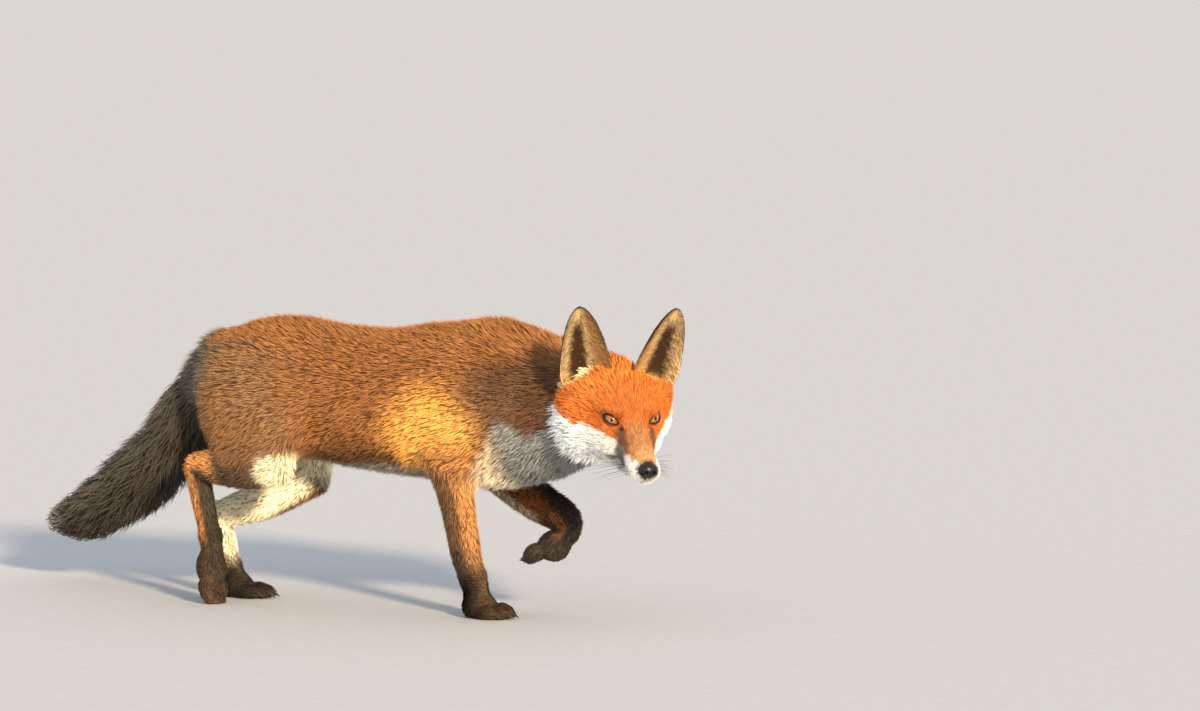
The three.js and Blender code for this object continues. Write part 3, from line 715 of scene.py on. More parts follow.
def tail_colour(p, normal):
    x = p[:, 0] + 6 * ripple(p, 22, 7)
    return layered(p, TAIL_TOP, [
        # painted shade: darker where the tail's surface faces down
        (TAIL_DARK_AND_UNDER_SHADE, smooth(normal[:, 2], 0.35, -0.4)),
        # darker hair in random patches
        (TAIL_DARK_AND_UNDER_SHADE, 0.5 * smooth(ripple(p, 20, 8), 0, 1)),
        (RUMP, smooth(p[:, 0], -262, -222) * 0.8),
        (TAIL_TIP, smooth(x, -432, -474) * 0.8),
    ])


SMUDGE = np.array([(16, 16.5, -2), (25, 16.5, -10), (28, 17.5, -20), (24, 17, -30), (20, 17, -37)], float)
TEAR = np.array([(9, 18.5, 1.5), (14.5, 16.8, 0.4), (18, 15.6, -3)], float)
EYE_STREAK = np.array([(-8, 38, 5), (-18, 47, 3), (-30, 56, 0)], float)


def head_colour(p):
    """Orange above and white below, a dark smudge from each eye's corner to the lip, and black lips."""
    straight = to_head(p)
    h = folded(straight)
    x, y, z = h.T
    hairy = ripple(p, 9, 9)
    edge = along_line(x, CHEEK_EDGE) + 1.6 * hairy
    wide = 2.6 + 0.3 * np.clip(-z, 0, 20)
    hollow = np.minimum(ear_hollow(straight, 1), ear_hollow(straight, -1))
    return layered(p, FACE, [
        (ORANGE, smooth(x + 5 * hairy, -30, -70)),
        # painted shade on the nape behind the head
        (NECK_BROWN_IN_SHADE, smooth(x, -58, -74) * smooth(z, -2, 8)),
        (ORANGE, smooth(path_distance(h, EYE_STREAK) + hairy, 6, 2) * 0.6),
        (MUZZLE_TAN, smooth(x + 3 * hairy, 10, 30) * smooth(y, 16, 9)),
        (MUZZLE_END, smooth(x, 36, 54) * smooth(y, 14, 8)),
        (WHITE, smooth(z, edge + 1.5, edge - 1.5)),
        (WHITE, smooth(x, 58, 62) * smooth(z, -22, -27)),
        (SMOKE, smooth(path_distance(h, SMUDGE) + 1.5 * hairy, wide + 3.5, wide - 3.5) * 0.85),
        (SMOKE, smooth(path_distance(h, MOUTH[3:]) + hairy, 8.5, 4) * smooth(x, 30, 18) * 0.85),
        (BLACK, smooth(path_distance(h, TEAR), 3.2, 1.8)),
        (BLACK, smooth(near_eye(straight), 1.1, 0.98)),
        (BLACK, smooth(near_nose(h), 1.2, 1.12)),
        (BLACK, smooth(mouth_line(h), 1.9, 0.9)),
        (CREAM, smooth(hollow, 5, 1) * smooth(x, -70, -60)),
    ])


# the fox's markings, with painted shade and painted light among them
def markings_and_shade(p, normal, shares):
    tint = np.zeros((len(p), 3))
    for name, share in shares.items():
        owned = np.flatnonzero(share > 1e-3)
        q = p[owned]
        if name in ("trunk", "neck"):
            colour = mixed(body_colour(q), head_colour(q), smooth(to_head(q)[:, 0], -76, -66))
        elif name == "tail":
            colour = tail_colour(q, normal[owned])
        elif name == "head":
            colour = head_colour(q)
        else:
            top = LEG_TOPS[name.split("_")[0]]
            colour = mixed(leg_colour(q, name), body_colour(q), smooth(q[:, 2], top - 28, top + 22))
        tint[owned] += colour * share[owned][:, None]
    return tint


# ---------------------------------------------------------------- meshes
def new_piece(name, points, faces, material, slot, tint=None, floats=None, uv=None, facing=None):
    """A smooth mesh object in the frame, riding on the fox's one body."""
    mesh = bpy.data.meshes.new(name)
    faces = np.asarray(faces)
    sides = faces.shape[1]
    mesh.vertices.add(len(points))
    mesh.vertices.foreach_set("co", placed(points).astype(np.float32).ravel())
    mesh.loops.add(faces.size)
    mesh.loops.foreach_set("vertex_index", faces.astype(np.int32).ravel())
    mesh.polygons.add(len(faces))
    mesh.polygons.foreach_set("loop_start", np.arange(0, faces.size, sides, dtype=np.int32))
    mesh.polygons.foreach_set("loop_total", np.full(len(faces), sides, np.int32))
    mesh.polygons.foreach_set("use_smooth", np.ones(len(faces), bool))
    if tint is not None:
        layer = mesh.color_attributes.new("tint", "FLOAT_COLOR", "POINT")
        layer.data.foreach_set("color", np.column_stack([tint, np.ones(len(points))]).astype(np.float32).ravel())
    for key, values in (floats or {}).items():
        mesh.attributes.new(key, "FLOAT", "POINT").data.foreach_set("value", values.astype(np.float32))
    if uv is not None:
        layer = mesh.uv_layers.new(name="OFBake")
        layer.data.foreach_set("uv", uv[faces.ravel()].astype(np.float32).ravel())
    mesh.update(calc_edges=True)
    if facing is not None:
        mesh.normals_split_custom_set_from_vertices(facing)
    mesh.materials.append(material)
    piece = bpy.data.objects.new(name, mesh)
    bpy.context.scene.collection.objects.link(piece)
    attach(piece, "root")
    return piece


# ---------------------------------------------------------------- materials
def shader(name, roughness, **sockets):
    """A new material, its node tree and its Principled node, with constants on the shader's own sockets."""
    material = bpy.data.materials.new(name)
    material.use_nodes = True
    tree = material.node_tree
    bsdf = tree.nodes["Principled BSDF"]
    bsdf.inputs["Roughness"].default_value = roughness
    for socket, value in sockets.items():
        bsdf.inputs[socket.replace("_", " ")].default_value = value
    return material, tree, bsdf


def node(tree, kind, **values):
    made = tree.nodes.new(kind)
    for key, value in values.items():
        if key in made.inputs:
            made.inputs[key].default_value = value
        else:
            setattr(made, key, value)
    return made


def attribute(tree, name):
    return node(tree, "ShaderNodeAttribute", attribute_name=name)


def multiplied(tree, a, b):
    mix = node(tree, "ShaderNodeMix", data_type="RGBA", blend_type="MULTIPLY")
    mix.inputs["Factor"].default_value = 1
    tree.links.new(a, mix.inputs[6])
    tree.links.new(b, mix.inputs[7])
    return mix.outputs[2]


def ramp(tree, value, stops):
    made = node(tree, "ShaderNodeValToRGB")
    elements = made.color_ramp.elements
    while len(elements) < len(stops):
        elements.new(0.5)
    for element, (position, grey) in zip(elements, stops):
        element.position = position
        element.color = (*grey, 1) if isinstance(grey, tuple) else (grey, grey, grey, 1)
    tree.links.new(value, made.inputs["Fac"])
    return made.outputs["Color"]


def coat_material():
    """Each tuft is darker at its root, partly its own colour and partly painted shade deep in the coat and painted
    light on the tips, and a share of them are banded: a pale ring and a dark tip.
    """
    material, tree, bsdf = shader("coat", 0.6, Specular_IOR_Level=0.3)
    along, banded, lot = (attribute(tree, key) for key in ("along", "banded", "lot"))
    # painted shade at the roots and painted light at the tips, over the hair's own banding
    plain = ramp(tree, along.outputs["Fac"], [(0, 0.45), (0.35, 0.75), (0.7, 1.1), (1, 1.25)])
    ringed = ramp(tree, along.outputs["Fac"], [(0, 0.25), (0.35, 0.55), (0.6, 1.4), (0.9, 1.6), (1, 0.6)])
    mix = node(tree, "ShaderNodeMix", data_type="RGBA")
    tree.links.new(banded.outputs["Fac"], mix.inputs["Factor"])
    tree.links.new(plain, mix.inputs[6])
    tree.links.new(ringed, mix.inputs[7])
    shade = ramp(tree, lot.outputs["Fac"], [(0, (0.36, 0.33, 0.3)), (0.5, 0.92), (1, (1.8, 1.95, 2.0))])
    colour = multiplied(tree, attribute(tree, "tint").outputs["Color"], mix.outputs[2])
    tree.links.new(multiplied(tree, colour, shade), bsdf.inputs["Base Color"])
    return material


def fine_material(name, roughness, texture, stops, tinted=False, bump=None, kind="Noise", **sockets):
    """A fine texture shades the colour, over the markings and painted shade where tinted, and raises the surface.

    texture holds the texture's own sockets; bump is its strength and its height in metres.
    """
    material, tree, bsdf = shader(name, roughness, **sockets)
    place = node(tree, "ShaderNodeNewGeometry")
    fine = node(tree, "ShaderNodeTex" + kind, **texture)
    tree.links.new(place.outputs["Position"], fine.inputs["Vector"])
    colour = ramp(tree, fine.outputs[0], stops)
    if tinted:
        colour = multiplied(tree, attribute(tree, "tint").outputs["Color"], colour)
    tree.links.new(colour, bsdf.inputs["Base Color"])
    if bump:
        raised = node(tree, "ShaderNodeBump", Strength=bump[0], Distance=bump[1])
        tree.links.new(fine.outputs[0], raised.inputs["Height"])
        tree.links.new(raised.outputs["Normal"], bsdf.inputs["Normal"])
    return material


def skin_material():
    """Short hair lying flat."""
    grain, stops = dict(Scale=900.0, Detail=3.0), [(0.25, 0.62), (0.75, 1.1)]
    return fine_material("skin", 0.7, grain, stops, True, (0.5, 0.0006), Specular_IOR_Level=0.25)


def leather_material():
    stops = [(0, (0.006, 0.005, 0.005)), (0.8, (0.016, 0.013, 0.012))]
    return fine_material(
        "nose_leather", 0.36, dict(Scale=1100.0), stops, False, (0.4, 0.0004), "Voronoi",
        Specular_IOR_Level=0.3, Coat_Weight=0.2, Coat_Roughness=0.2,
    )


def eye_material():
    wet = dict(Coat_Weight=1.0, Coat_Roughness=0.02, Coat_IOR=1.38)
    return fine_material("eye", 0.25, dict(Scale=1600.0, Detail=2.0), [(0.3, 0.8), (0.7, 1.15)], True, **wet)


def horn_material():
    stops = [(0.3, (0.02, 0.016, 0.012)), (0.7, (0.07, 0.05, 0.035))]
    return fine_material("claw", 0.4, dict(Scale=500.0), stops)


# ---------------------------------------------------------------- skin
HEAD_REFINED, PAW_REFINED = 108, 42  # how far round the head and the paws the skin is twice as fine
SKIN_CELL, SKIN_FLOOR_GAP = 3.0, 0.3


def body_skin():
    low, high = (np.array(list(corner)) * 1000 - SHIFT for corner in CAD_BOX)
    points, quads = surface(SKIN, low - 5, high + 5, SKIN_CELL)
    centres = points[quads].mean(1)
    fine = np.linalg.norm(centres - from_head((0, 0, -10)), axis=1) < HEAD_REFINED
    for paw in PAWS.values():
        fine |= np.linalg.norm(centres - foot_point(paw, 12, 0, 0), axis=1) < PAW_REFINED
    points, quads = refined(points, quads, fine, SKIN, SKIN_CELL / 2)
    points[:, 2] = np.maximum(points[:, 2], SKIN_FLOOR_GAP)
    return points, quads


def ear_point(side, up, v, depth, inset):
    """A point of the ear: up from root 0 to tip 1, v across from -1 to 1, depth in front of its back."""
    root, axis, across, front, length = ear_frame(side)
    taper = np.sqrt(np.maximum(1 - up**2.2, 0)) * (1 - 0.18 * up) * np.minimum(1, 0.82 + up)
    half = np.maximum(EAR_HALF_WIDTH * taper - inset, 0.2)
    bow = -EAR_CUP * half * (1 - v * v) + depth + inset
    middle = root + np.multiply.outer(up * (length - inset), axis)
    return from_head(middle + np.multiply.outer(half * v, across) + np.multiply.outer(bow, front))


EAR_ROWS, EAR_SPANS = 44, 30
EAR_INSET, EAR_THICK = 0.8, 2.0
EAR_STRIPE = 0.24  # how far outwards from the middle the hollow's dark stripe runs


def ear_skin(side):
    """Points, quads, and each point's height, place across and whether it is in the hollow."""
    ups = np.sin(np.linspace(0, 1, EAR_ROWS) * math.pi / 2)
    ups[-1] = 0.9995
    v = np.linspace(-1, 1, EAR_SPANS + 1)
    across = np.concatenate([v, v[::-1]])
    depth = np.concatenate([np.zeros(EAR_SPANS + 1), np.full(EAR_SPANS + 1, EAR_THICK)])
    rounded = np.concatenate([np.ones(EAR_SPANS + 1), np.full(EAR_SPANS + 1, 0.985)])
    up, place = np.repeat(ups, len(across)), np.tile(across * rounded, EAR_ROWS)
    points = ear_point(side, up, place, np.tile(depth, EAR_ROWS), EAR_INSET)
    quads = ring_quads(EAR_ROWS, len(across))[:, ::-1]
    hollow = np.tile(depth > 0, EAR_ROWS)
    return points, quads, up, place, hollow


def ear_colour(side, up, v, hollow, p):
    """A cream hollow with a dark stripe down its middle, orange towards the crown; a black back."""
    medial = v * ear_medial(side)
    stripe = np.abs(medial + EAR_STRIPE + 0.07 * ripple(p, 7, 12)) / (0.5 * (1 - 0.5 * up))
    inside = layered(p, CREAM, [
        (EAR_MEDIAL, smooth(medial, 0.25, 0.8) * 0.85),
        (EAR_MEDIAL, smooth(up, 0.3, 0.02) * 0.6),
        (EAR_DARK, smooth(stripe, 1.3, 0.5) * smooth(up, 0.04, 0.14) * smooth(up, 0.88, 0.66)),
        (BLACK, smooth(np.abs(v), 0.93, 0.98) * smooth(up, 0.3, 0.6)),
    ])
    outside = layered(p, np.array(BLACK) * 1.6, [(FACE, smooth(up, 0.34, 0.18))])
    return np.where(hollow[:, None], inside, outside)


def ear_medial(side):
    """The sign of v towards the head's middle."""
    return -side * np.sign(ear_frame(side)[2][1])


LID_RINGS = [  # share of the opening's size, height above the eyeball, how black
    (0.93, 0.15, 1), (1.0, 0.9, 1), (1.10, 1.35, 1), (1.22, 1.5, 0.9), (1.42, 1.2, 0.15), (1.75, 0.2, 0),
    (2.1, -2.0, 0),
]
LID_SPREAD = 5.5  # how far from the slit a ring of twice its size lies


def lid_point(side, angle, share, lift):
    """A point of the lids: angle round the slit from its inner corner, share of the slit's size."""
    out, slit, up = lid_axes(side)
    height = np.where(np.sin(angle) > 0, LID_UP, LID_DOWN)
    across = np.cos(angle) * LID_HALF_WIDTH
    rise = np.sign(np.sin(angle)) * np.abs(np.sin(angle)) ** 1.25 * height
    extra = (share - 1) * LID_SPREAD
    across = across + np.cos(angle) * extra
    rise = rise + np.sin(angle) * extra
    radius = EYE_RADIUS + lift
    flat = np.minimum(across**2 + rise**2, (0.985 * radius) ** 2)
    depth = np.sqrt(radius**2 - flat)
    local = np.multiply.outer(depth, out) + np.multiply.outer(across, slit) + np.multiply.outer(rise, up)
    return from_head(eye_middle(side) + local)


def lids(side, around=56):
    angle = np.linspace(0, 2 * math.pi, around, endpoint=False)
    points = np.concatenate([lid_point(side, angle, share, lift) for share, lift, _ in LID_RINGS])
    black = np.repeat([row[2] for row in LID_RINGS], around)
    quads = ring_quads(len(LID_RINGS), around)
    if side > 0:
        quads = quads[:, ::-1]
    return points, quads, black


def vertex_normals(points, quads):
    facing = quad_facing(points, quads)
    total = [np.bincount(quads.ravel(), np.repeat(facing[:, axis], 4), len(points)) for axis in range(3)]
    return unit(np.transpose(total))


def read_skin():
    """The body's skin with what the coat needs to know at each of its vertices."""
    points, quads = body_skin()
    shares = part_shares(points)
    normal = vertex_normals(points, quads)
    return dict(
        points=points, quads=quads, shares=np.transpose(list(shares.values())), names=list(shares), normal=normal,
        lie=coat_lie(points, normal, shares), depth=-COAT(points), tint=markings_and_shade(points, normal, shares),
    )


# painted shade: the skin under a deep coat is darkened for the shade the fur casts on it
SHADE_UNDER_COAT = 0.5  # how much darker the skin is where the coat is deep


def make_skin(skin, material):
    # painted shade under the fur
    coat_shade = smooth(skin["depth"], 1.6, 6)[:, None]
    meshes = [(skin["points"], skin["quads"], skin["tint"] * (1 - SHADE_UNDER_COAT * coat_shade))]
    for side in (1, -1):
        points, quads, up, v, hollow = ear_skin(side)
        meshes.append((points, quads, ear_colour(side, up, v, hollow, points)))
        points, quads, black = lids(side)
        meshes.append((points, quads, painted(head_colour(points), BLACK, black)))
    points, quads, tint = merged(meshes)
    piece = new_piece("skin", points, quads, material, "coat", tint)
    flesh = ("trunk", "neck", "head", "ear", "tail", "leg", "paw")
    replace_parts(piece, *[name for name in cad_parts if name.split("_")[0] in flesh])


# ---------------------------------------------------------------- coat
STRAIGHT, BENT = (0, 1), (0, 0.45, 1)
ROUNDNESS = 0.8  # how far a tuft's shading turns from its middle to its sides
GUARD_SHARE = 0.32  # of the tufts are guard hair: paler, and above the rest
FLOOR_GAP = 0.25
PATCH = 0.0015  # half a tuft's patch on the unwrap


def scattered(points, quads, per_mm2, rng):
    """Roots spread evenly over a mesh, so many to a square millimetre at each face, and each corner's weight."""
    total = np.cumsum(np.linalg.norm(quad_facing(points, quads), axis=1) / 2 * per_mm2)
    count = int(total[-1])
    marks = (np.arange(count) + rng.random(count)) * total[-1] / count
    face = np.minimum(np.searchsorted(total, marks), len(quads) - 1)
    u, v = rng.random((2, count))
    weights = np.stack([(1 - u) * (1 - v), u * (1 - v), u * v, (1 - u) * v], 1)
    return face, weights


def coat_lie(p, normal, shares):
    """Which way the coat lies: back over the head, neck and trunk, down the legs, out along the tail."""
    back = -SKIN.trunk.measure(p)[1]
    lie = back * shares["trunk"][:, None] - SKIN.neck.measure(p)[1] * shares["neck"][:, None]
    lie += SKIN.tail.measure(p)[1] * shares["tail"][:, None]
    for name, leg in SKIN.legs.items():
        upper, upper_axis = leg.upper.measure(p)
        lower, lower_axis = leg.lower.measure(p)
        paw = smooth(leg.foot(p) - np.minimum(upper, lower), 4, -4)[:, None]
        axis = np.where((upper < lower)[:, None], upper_axis * 0.6 + back * 0.6, lower_axis)
        high = smooth(p[:, 2], 205, 250)[:, None]
        axis = axis * (1 - high) + (back - [0, 0, 0.3]) * high
        lie += (axis * (1 - paw) + leg.axes[0] * paw) * shares[name][:, None]
    away = unit((to_head(p) - [74, 0, -34]) * [1, 1.25, 1.1])
    lie += away @ HEAD * shares["head"][:, None]
    lie[:, 2] -= 0.4 * np.abs(normal[:, 1]) * (shares["trunk"] + shares["neck"])
    lie += 0.13 * np.stack([ripple(p, 34, seed) for seed in (21, 22, 23)], 1)
    return square_to(lie, normal)


def blended(shares, values):
    """One value for each root from the values of the parts that share it."""
    return sum(shares[:, i] * value for i, value in enumerate(values))


def tuft_sizes(p, shares, names):
    """Length, width, height and number to a square millimetre of the tufts, from the part they grow on."""
    h = to_head(p)
    x, z = h[:, 0], h[:, 2]
    cheek = smooth(x, 0, -46) * smooth(z, 12, -14)
    brow = smooth(x, 45, -25)
    rows = {
        "trunk": (11.5, 2.0, 8.5, 0.62),
        "neck": (17, 2.2, 11, 0.55),
        "tail": (38, 2.1, 28, 0.45),
        "head": (3.4 + 3.8 * brow + 11 * cheek, 0.95 + 0.35 * brow + 0.7 * cheek, 1.6 + 2.2 * brow + 7.5 * cheek,
                 2.0 - 0.7 * brow - 0.6 * cheek),
    }
    for name in LEGS:
        low = {"front_right": 70, "front_left": 104, "hind_right": 96, "hind_left": 60}[name]
        high, foot = smooth(p[:, 2], low + 20, 205), smooth(p[:, 2], low - 30, low + 20)
        rows[name] = (5.5 + 2 * foot + 5 * high, 1.35 + 0.3 * foot + 0.35 * high, 2 + 1.5 * foot + 5.5 * high,
                      1.2 - 0.2 * foot - 0.3 * high)
    return [blended(shares, [rows[name][k] for name in names]) for k in range(4)]


def tuft_paths(root, lie, normal, length, rise, sway, steps):
    side = np.cross(normal, lie)
    rings = []
    for share in steps:
        out = rise * (1 - (1 - share) ** 2) - 0.5 * (share == 0)
        ring = root + lie * (length * share)[:, None] + normal * out[:, None]
        rings.append(ring + side * (sway * share**1.5)[:, None])
    return np.stack(rings, 1)


def held_in(paths, over):
    """Tufts bent back to the coat's own outline where they would stand out of it."""
    for ring in range(1, paths.shape[1]):
        for _ in range(2):
            value, steep = slope(COAT, paths[:, ring])
            paths[:, ring] -= unit(steep) * np.maximum(value - over, 0)[:, None]
    strays = COAT(paths[:, -1]) > over + 3
    paths[strays, 1:] = paths[strays, :1] + 0.3 * (paths[strays, 1:] - paths[strays, :1])
    return paths


def tuft_mesh(paths, lie, normal, width, steps):
    """Three-sided tapered tufts along their paths."""
    side = np.cross(normal, lie)
    count, rings = len(paths), len(steps)
    levels = []
    for ring, share in enumerate(steps[:-1]):
        thick = (width / 2 * (1 - share**1.6))[:, None]
        corners = (-side * thick, side * thick, normal * thick * 0.8)
        levels.append(paths[:, ring, None] + np.stack(corners, 1))
    points = np.concatenate([*levels, paths[:, -1:]], 1)
    faces = []
    for ring in range(rings - 2):
        for k in range(3):
            a, b = 3 * ring + k, 3 * ring + (k + 1) % 3
            faces += [(a, b, b + 3), (a, b + 3, a + 3)]
    last = 3 * (rings - 2)
    faces += [(last + k, last + (k + 1) % 3, last + 3) for k in range(3)]
    each = points.shape[1]
    faces = (np.array(faces)[None] + (np.arange(count) * each)[:, None, None]).reshape(-1, 3)
    along = np.concatenate([np.full(3 if share < 1 else 1, share) for share in steps])
    return points.reshape(-1, 3), faces, np.tile(along, count), each


def tuft_facing(paths, lie, normal, steps):
    """Each tuft point's shading normal: out from the body, square to the tuft, and round across it."""
    side = np.cross(normal, lie)
    along = unit(paths[:, -1] - paths[:, 0])
    out = square_to(normal, along)
    ring = [out - ROUNDNESS * side, out + ROUNDNESS * side, out]
    return unit(np.stack([*ring * (len(steps) - 1), out], 1).reshape(-1, 3))


def unwrap(p, start, end):
    """Round and along an axis, both from 0 to 1."""
    axis = unit(np.array(end, float) - start)
    first = unit(np.cross(axis, (0.03, 1, 0.02)))
    offset = p - np.array(start, float)
    angle = np.arctan2(offset @ np.cross(axis, first), offset @ first) / (2 * math.pi) + 0.5
    along = offset @ axis
    along = (along - along.min()) / max(np.ptp(along), 1e-6)
    return np.stack([angle, along], 1) * 0.98 + 0.01


def coat_piece(name, tufts, steps, uv, material, slot, over=None):
    root, lie, normal = tufts["root"], tufts["lie"], tufts["normal"]
    paths = tuft_paths(root, lie, normal, tufts["length"], tufts["rise"], tufts["sway"], steps)
    if over is not None:
        paths = held_in(paths, over)
    points, faces, along, each = tuft_mesh(paths, lie, normal, tufts["width"], steps)
    points[:, 2] = np.maximum(points[:, 2], FLOOR_GAP)
    corner = np.array([(-1, -1), (1, -1), (0, 1)])
    patch = np.concatenate([corner * (1 - share) if share < 1 else [(0, 0)] for share in steps]) * PATCH
    uv_points = (np.repeat(uv, each, 0) + np.tile(patch, (len(root), 1))).clip(0, 1)
    floats = {"along": along} | {key: np.repeat(tufts[key], each) for key in ("banded", "lot")}
    facing = tuft_facing(paths, lie, normal, steps)
    tint = np.repeat(tufts["tint"], each, 0)
    return new_piece(name, points, faces, material, slot, tint, floats, uv_points, facing)


COAT_PARTS = {  # piece: the part it covers, where its unwrap's axis runs, its slot and its tufts' steps
    "coat_neck": ("neck", (150, 0, 236), (300, -54, 242), "coat", STRAIGHT),
    "coat_tail": ("tail", (-208, 2, 262), (-470, 93, 70), "tail_coat", BENT),
    "coat_leg_front_right": ("front_right", (130, -40, 260), (112, -22, 10), "leg_coat", STRAIGHT),
    "coat_leg_front_left": ("front_left", (130, 45, 240), (190, 47, 80), "leg_coat", STRAIGHT),
    "coat_leg_hind_right": ("hind_right", (-150, -40, 250), (-210, -38, 10), "leg_coat", STRAIGHT),
    "coat_leg_hind_left": ("hind_left", (-150, 40, 240), (-222, 34, 10), "leg_coat", STRAIGHT),
    "coat_face": ("head", (-70, 0, -15), (70, 0, -32), "face_coat", STRAIGHT),
}
TRUNK_MIDDLE = -20
LONG_FACE = 9.5  # face tufts longer than this bend


def bare_spots(root, on_head):
    """Where no tuft grows: the eyes, the nose, the lips and under the feet."""
    bare = root[:, 2] < 2.5
    h = to_head(root[on_head])
    bare[on_head] |= (near_eye(h) < 1.2) | (near_nose(h) < 1.1) | (mouth_line(h) < 1.4)
    return bare


def make_coat(skin, material):
    rng = np.random.default_rng(7)
    quads, names = skin["quads"], skin["names"]
    centre_shares = skin["shares"][quads].mean(1)
    per_mm2 = tuft_sizes(skin["points"][quads].mean(1), centre_shares, names)[3]
    face, weights = scattered(skin["points"], quads, per_mm2, rng)

    def carried(key):
        values = skin[key]
        return sum(weights[:, k].reshape(-1, *[1] * (values.ndim - 1)) * values[quads[face, k]] for k in range(4))

    root, shares, tint, depth = (carried(key) for key in ("points", "shares", "tint", "depth"))
    normal = unit(carried("normal"))
    lie = square_to(carried("lie"), normal)
    length, width, height, _ = tuft_sizes(root, shares, names)
    count = len(root)
    clump = ripple(root, 9, 31)
    guard = rng.random(count) < GUARD_SHARE
    length = length * (1 + 0.1 * clump) * rng.uniform(0.75, 1.2, count)
    width = width * rng.uniform(0.75, 1.25, count)
    lifted = np.where(guard, rng.uniform(1.0, 1.35, count), rng.uniform(0.5, 0.9, count))
    rise = np.clip(depth, 1.4, np.maximum(height, 1.5)) * lifted
    rise = np.minimum(rise, length * 0.75)
    sway = length * (0.16 * ripple(root, 9, 32) + 0.2 * rng.normal(size=count))
    owner = np.argmax(shares, 1)
    index = {name: i for i, name in enumerate(names)}
    grizzle = np.array([{"trunk": 0.85, "neck": 0.8, "tail": 0.55, "head": 0.3}.get(name, 0.5) for name in names])
    banded = np.clip(shares @ grizzle * rng.uniform(0.2, 1.3, count), 0, 1)
    even = shares[:, names.index("head")]
    lot = np.where(guard, 0.9 - 0.22 * even, 0.26 + 0.2 * even) + (0.2 - 0.1 * even) * rng.normal(size=count)
    lot = np.clip(lot + 0.06 * clump, 0, 1)
    tufts = dict(root=root, lie=lie, normal=normal, length=length, width=width, rise=rise, sway=sway, tint=tint,
                 banded=banded, lot=lot)
    grows = ~bare_spots(root, owner == index["head"])
    over = rng.uniform(-2.0, 3.0, count) + (owner == index["tail"]) * rng.uniform(-5, 3.5, count)

    def piece(name, mine, start, end, slot, steps, held):
        mine = np.flatnonzero(mine & grows)
        chosen = {key: value[mine] for key, value in tufts.items()}
        where = to_head(chosen["root"]) if name in ("coat_face", "coat_cheeks") else chosen["root"]
        coat_piece(name, chosen, steps, unwrap(where, start, end), material, slot, over[mine] if held else None)

    for name, (part, start, end, slot, steps) in COAT_PARTS.items():
        mine = owner == index[part]
        if part == "head":
            piece("coat_cheeks", mine & (length > LONG_FACE), start, end, slot, BENT, True)
            mine &= length <= LONG_FACE
        piece(name, mine, start, end, slot, steps, part in ("tail", "neck"))
    for side in (1, -1):
        for end, there in (("front", root[:, 0] >= TRUNK_MIDDLE), ("rear", root[:, 0] < TRUNK_MIDDLE)):
            name = f"coat_trunk_{end}_{'left' if side > 0 else 'right'}"
            mine = (owner == index["trunk"]) & there & (np.where(root[:, 1] >= 0, 1, -1) == side)
            piece(name, mine, (-216, 0, 235), (188, 0, 235), "coat", STRAIGHT, False)


def make_ear_coat(side, material, seed):
    """Short hair over the ear's back, and longer hair from both edges across the hollow."""
    rng = np.random.default_rng(seed)
    points, quads, up, v, hollow = ear_skin(side)
    normal_of = unit(quad_facing(points, quads))
    middle_up, middle_v, in_hollow = up[quads].mean(1), v[quads].mean(1), hollow[quads].all(1)
    face, weights = scattered(points, quads, np.where(in_hollow, 1.2, 0.9), rng)
    root = (points[quads[face]] * weights[:, :, None]).sum(1)
    normal, up, v, inside = normal_of[face], middle_up[face], middle_v[face], in_hollow[face]
    _, axis, across, _, _ = ear_frame(side)
    axis, across = axis @ HEAD, across @ HEAD
    medial = v * ear_medial(side) + EAR_STRIPE
    inward = -(np.sign(medial) * ear_medial(side))[:, None] * across
    outer = smooth(np.abs(medial), 0.1, 0.75)
    lie = axis * np.where(inside, 0.75, 1)[:, None] + inward * (inside * (0.35 + 0.65 * outer))[:, None]
    lie = square_to(lie + 0.16 * rng.normal(size=lie.shape), normal)
    count = len(root)
    near_tip = smooth(up, 0.98, 0.72)
    fringe = smooth(np.abs(medial), 0.4, 0.8)
    length = np.where(inside, 3.5 + 6.5 * fringe * near_tip, 3.6)
    length = length * rng.uniform(0.6, 1.3, count) * (0.5 + 0.5 * near_tip)
    dark = np.abs(medial) < 0.3
    tint = ear_colour(side, up, v, inside, root)
    shadow = inside & (rng.random(count) < 0.12 + 0.25 * smooth(np.abs(medial), 0.75, 0.3))
    tint[shadow] = tint[shadow] * 0.3
    tufts = dict(
        root=root, lie=lie, normal=normal, length=length, width=rng.uniform(0.7, 1.15, count),
        rise=np.where(inside & ~dark, 2.6, 0.7) * rng.uniform(0.3, 1.2, count) * (0.3 + 0.7 * near_tip),
        sway=length * 0.14 * rng.normal(size=count), tint=tint,
        banded=rng.uniform(0, 0.25, count), lot=rng.uniform(0.1, 0.8, count),
    )
    uv = np.stack([(v + 1) / 4 + 0.5 * inside, up], 1) * 0.96 + 0.02
    name = "coat_ear_" + ("left" if side > 0 else "right")
    coat_piece(name, tufts, STRAIGHT, uv, material, "ear_coat")


# ---------------------------------------------------------------- eyes, nose, claws and whiskers
IRIS_EDGE, PUPIL_HALF = math.radians(46), (1.7, 2.2)
CORNEA, EYE_ROUND = 0.7, 72  # how far the cornea stands out, and points round the eye
IRIS, IRIS_INNER, IRIS_OUTER = (0.36, 0.14, 0.03), (0.55, 0.28, 0.08), (0.10, 0.045, 0.015)
PUPIL, EYE_WHITE = (0.012, 0.009, 0.008), (0.09, 0.05, 0.03)  # little of a fox's dark white shows


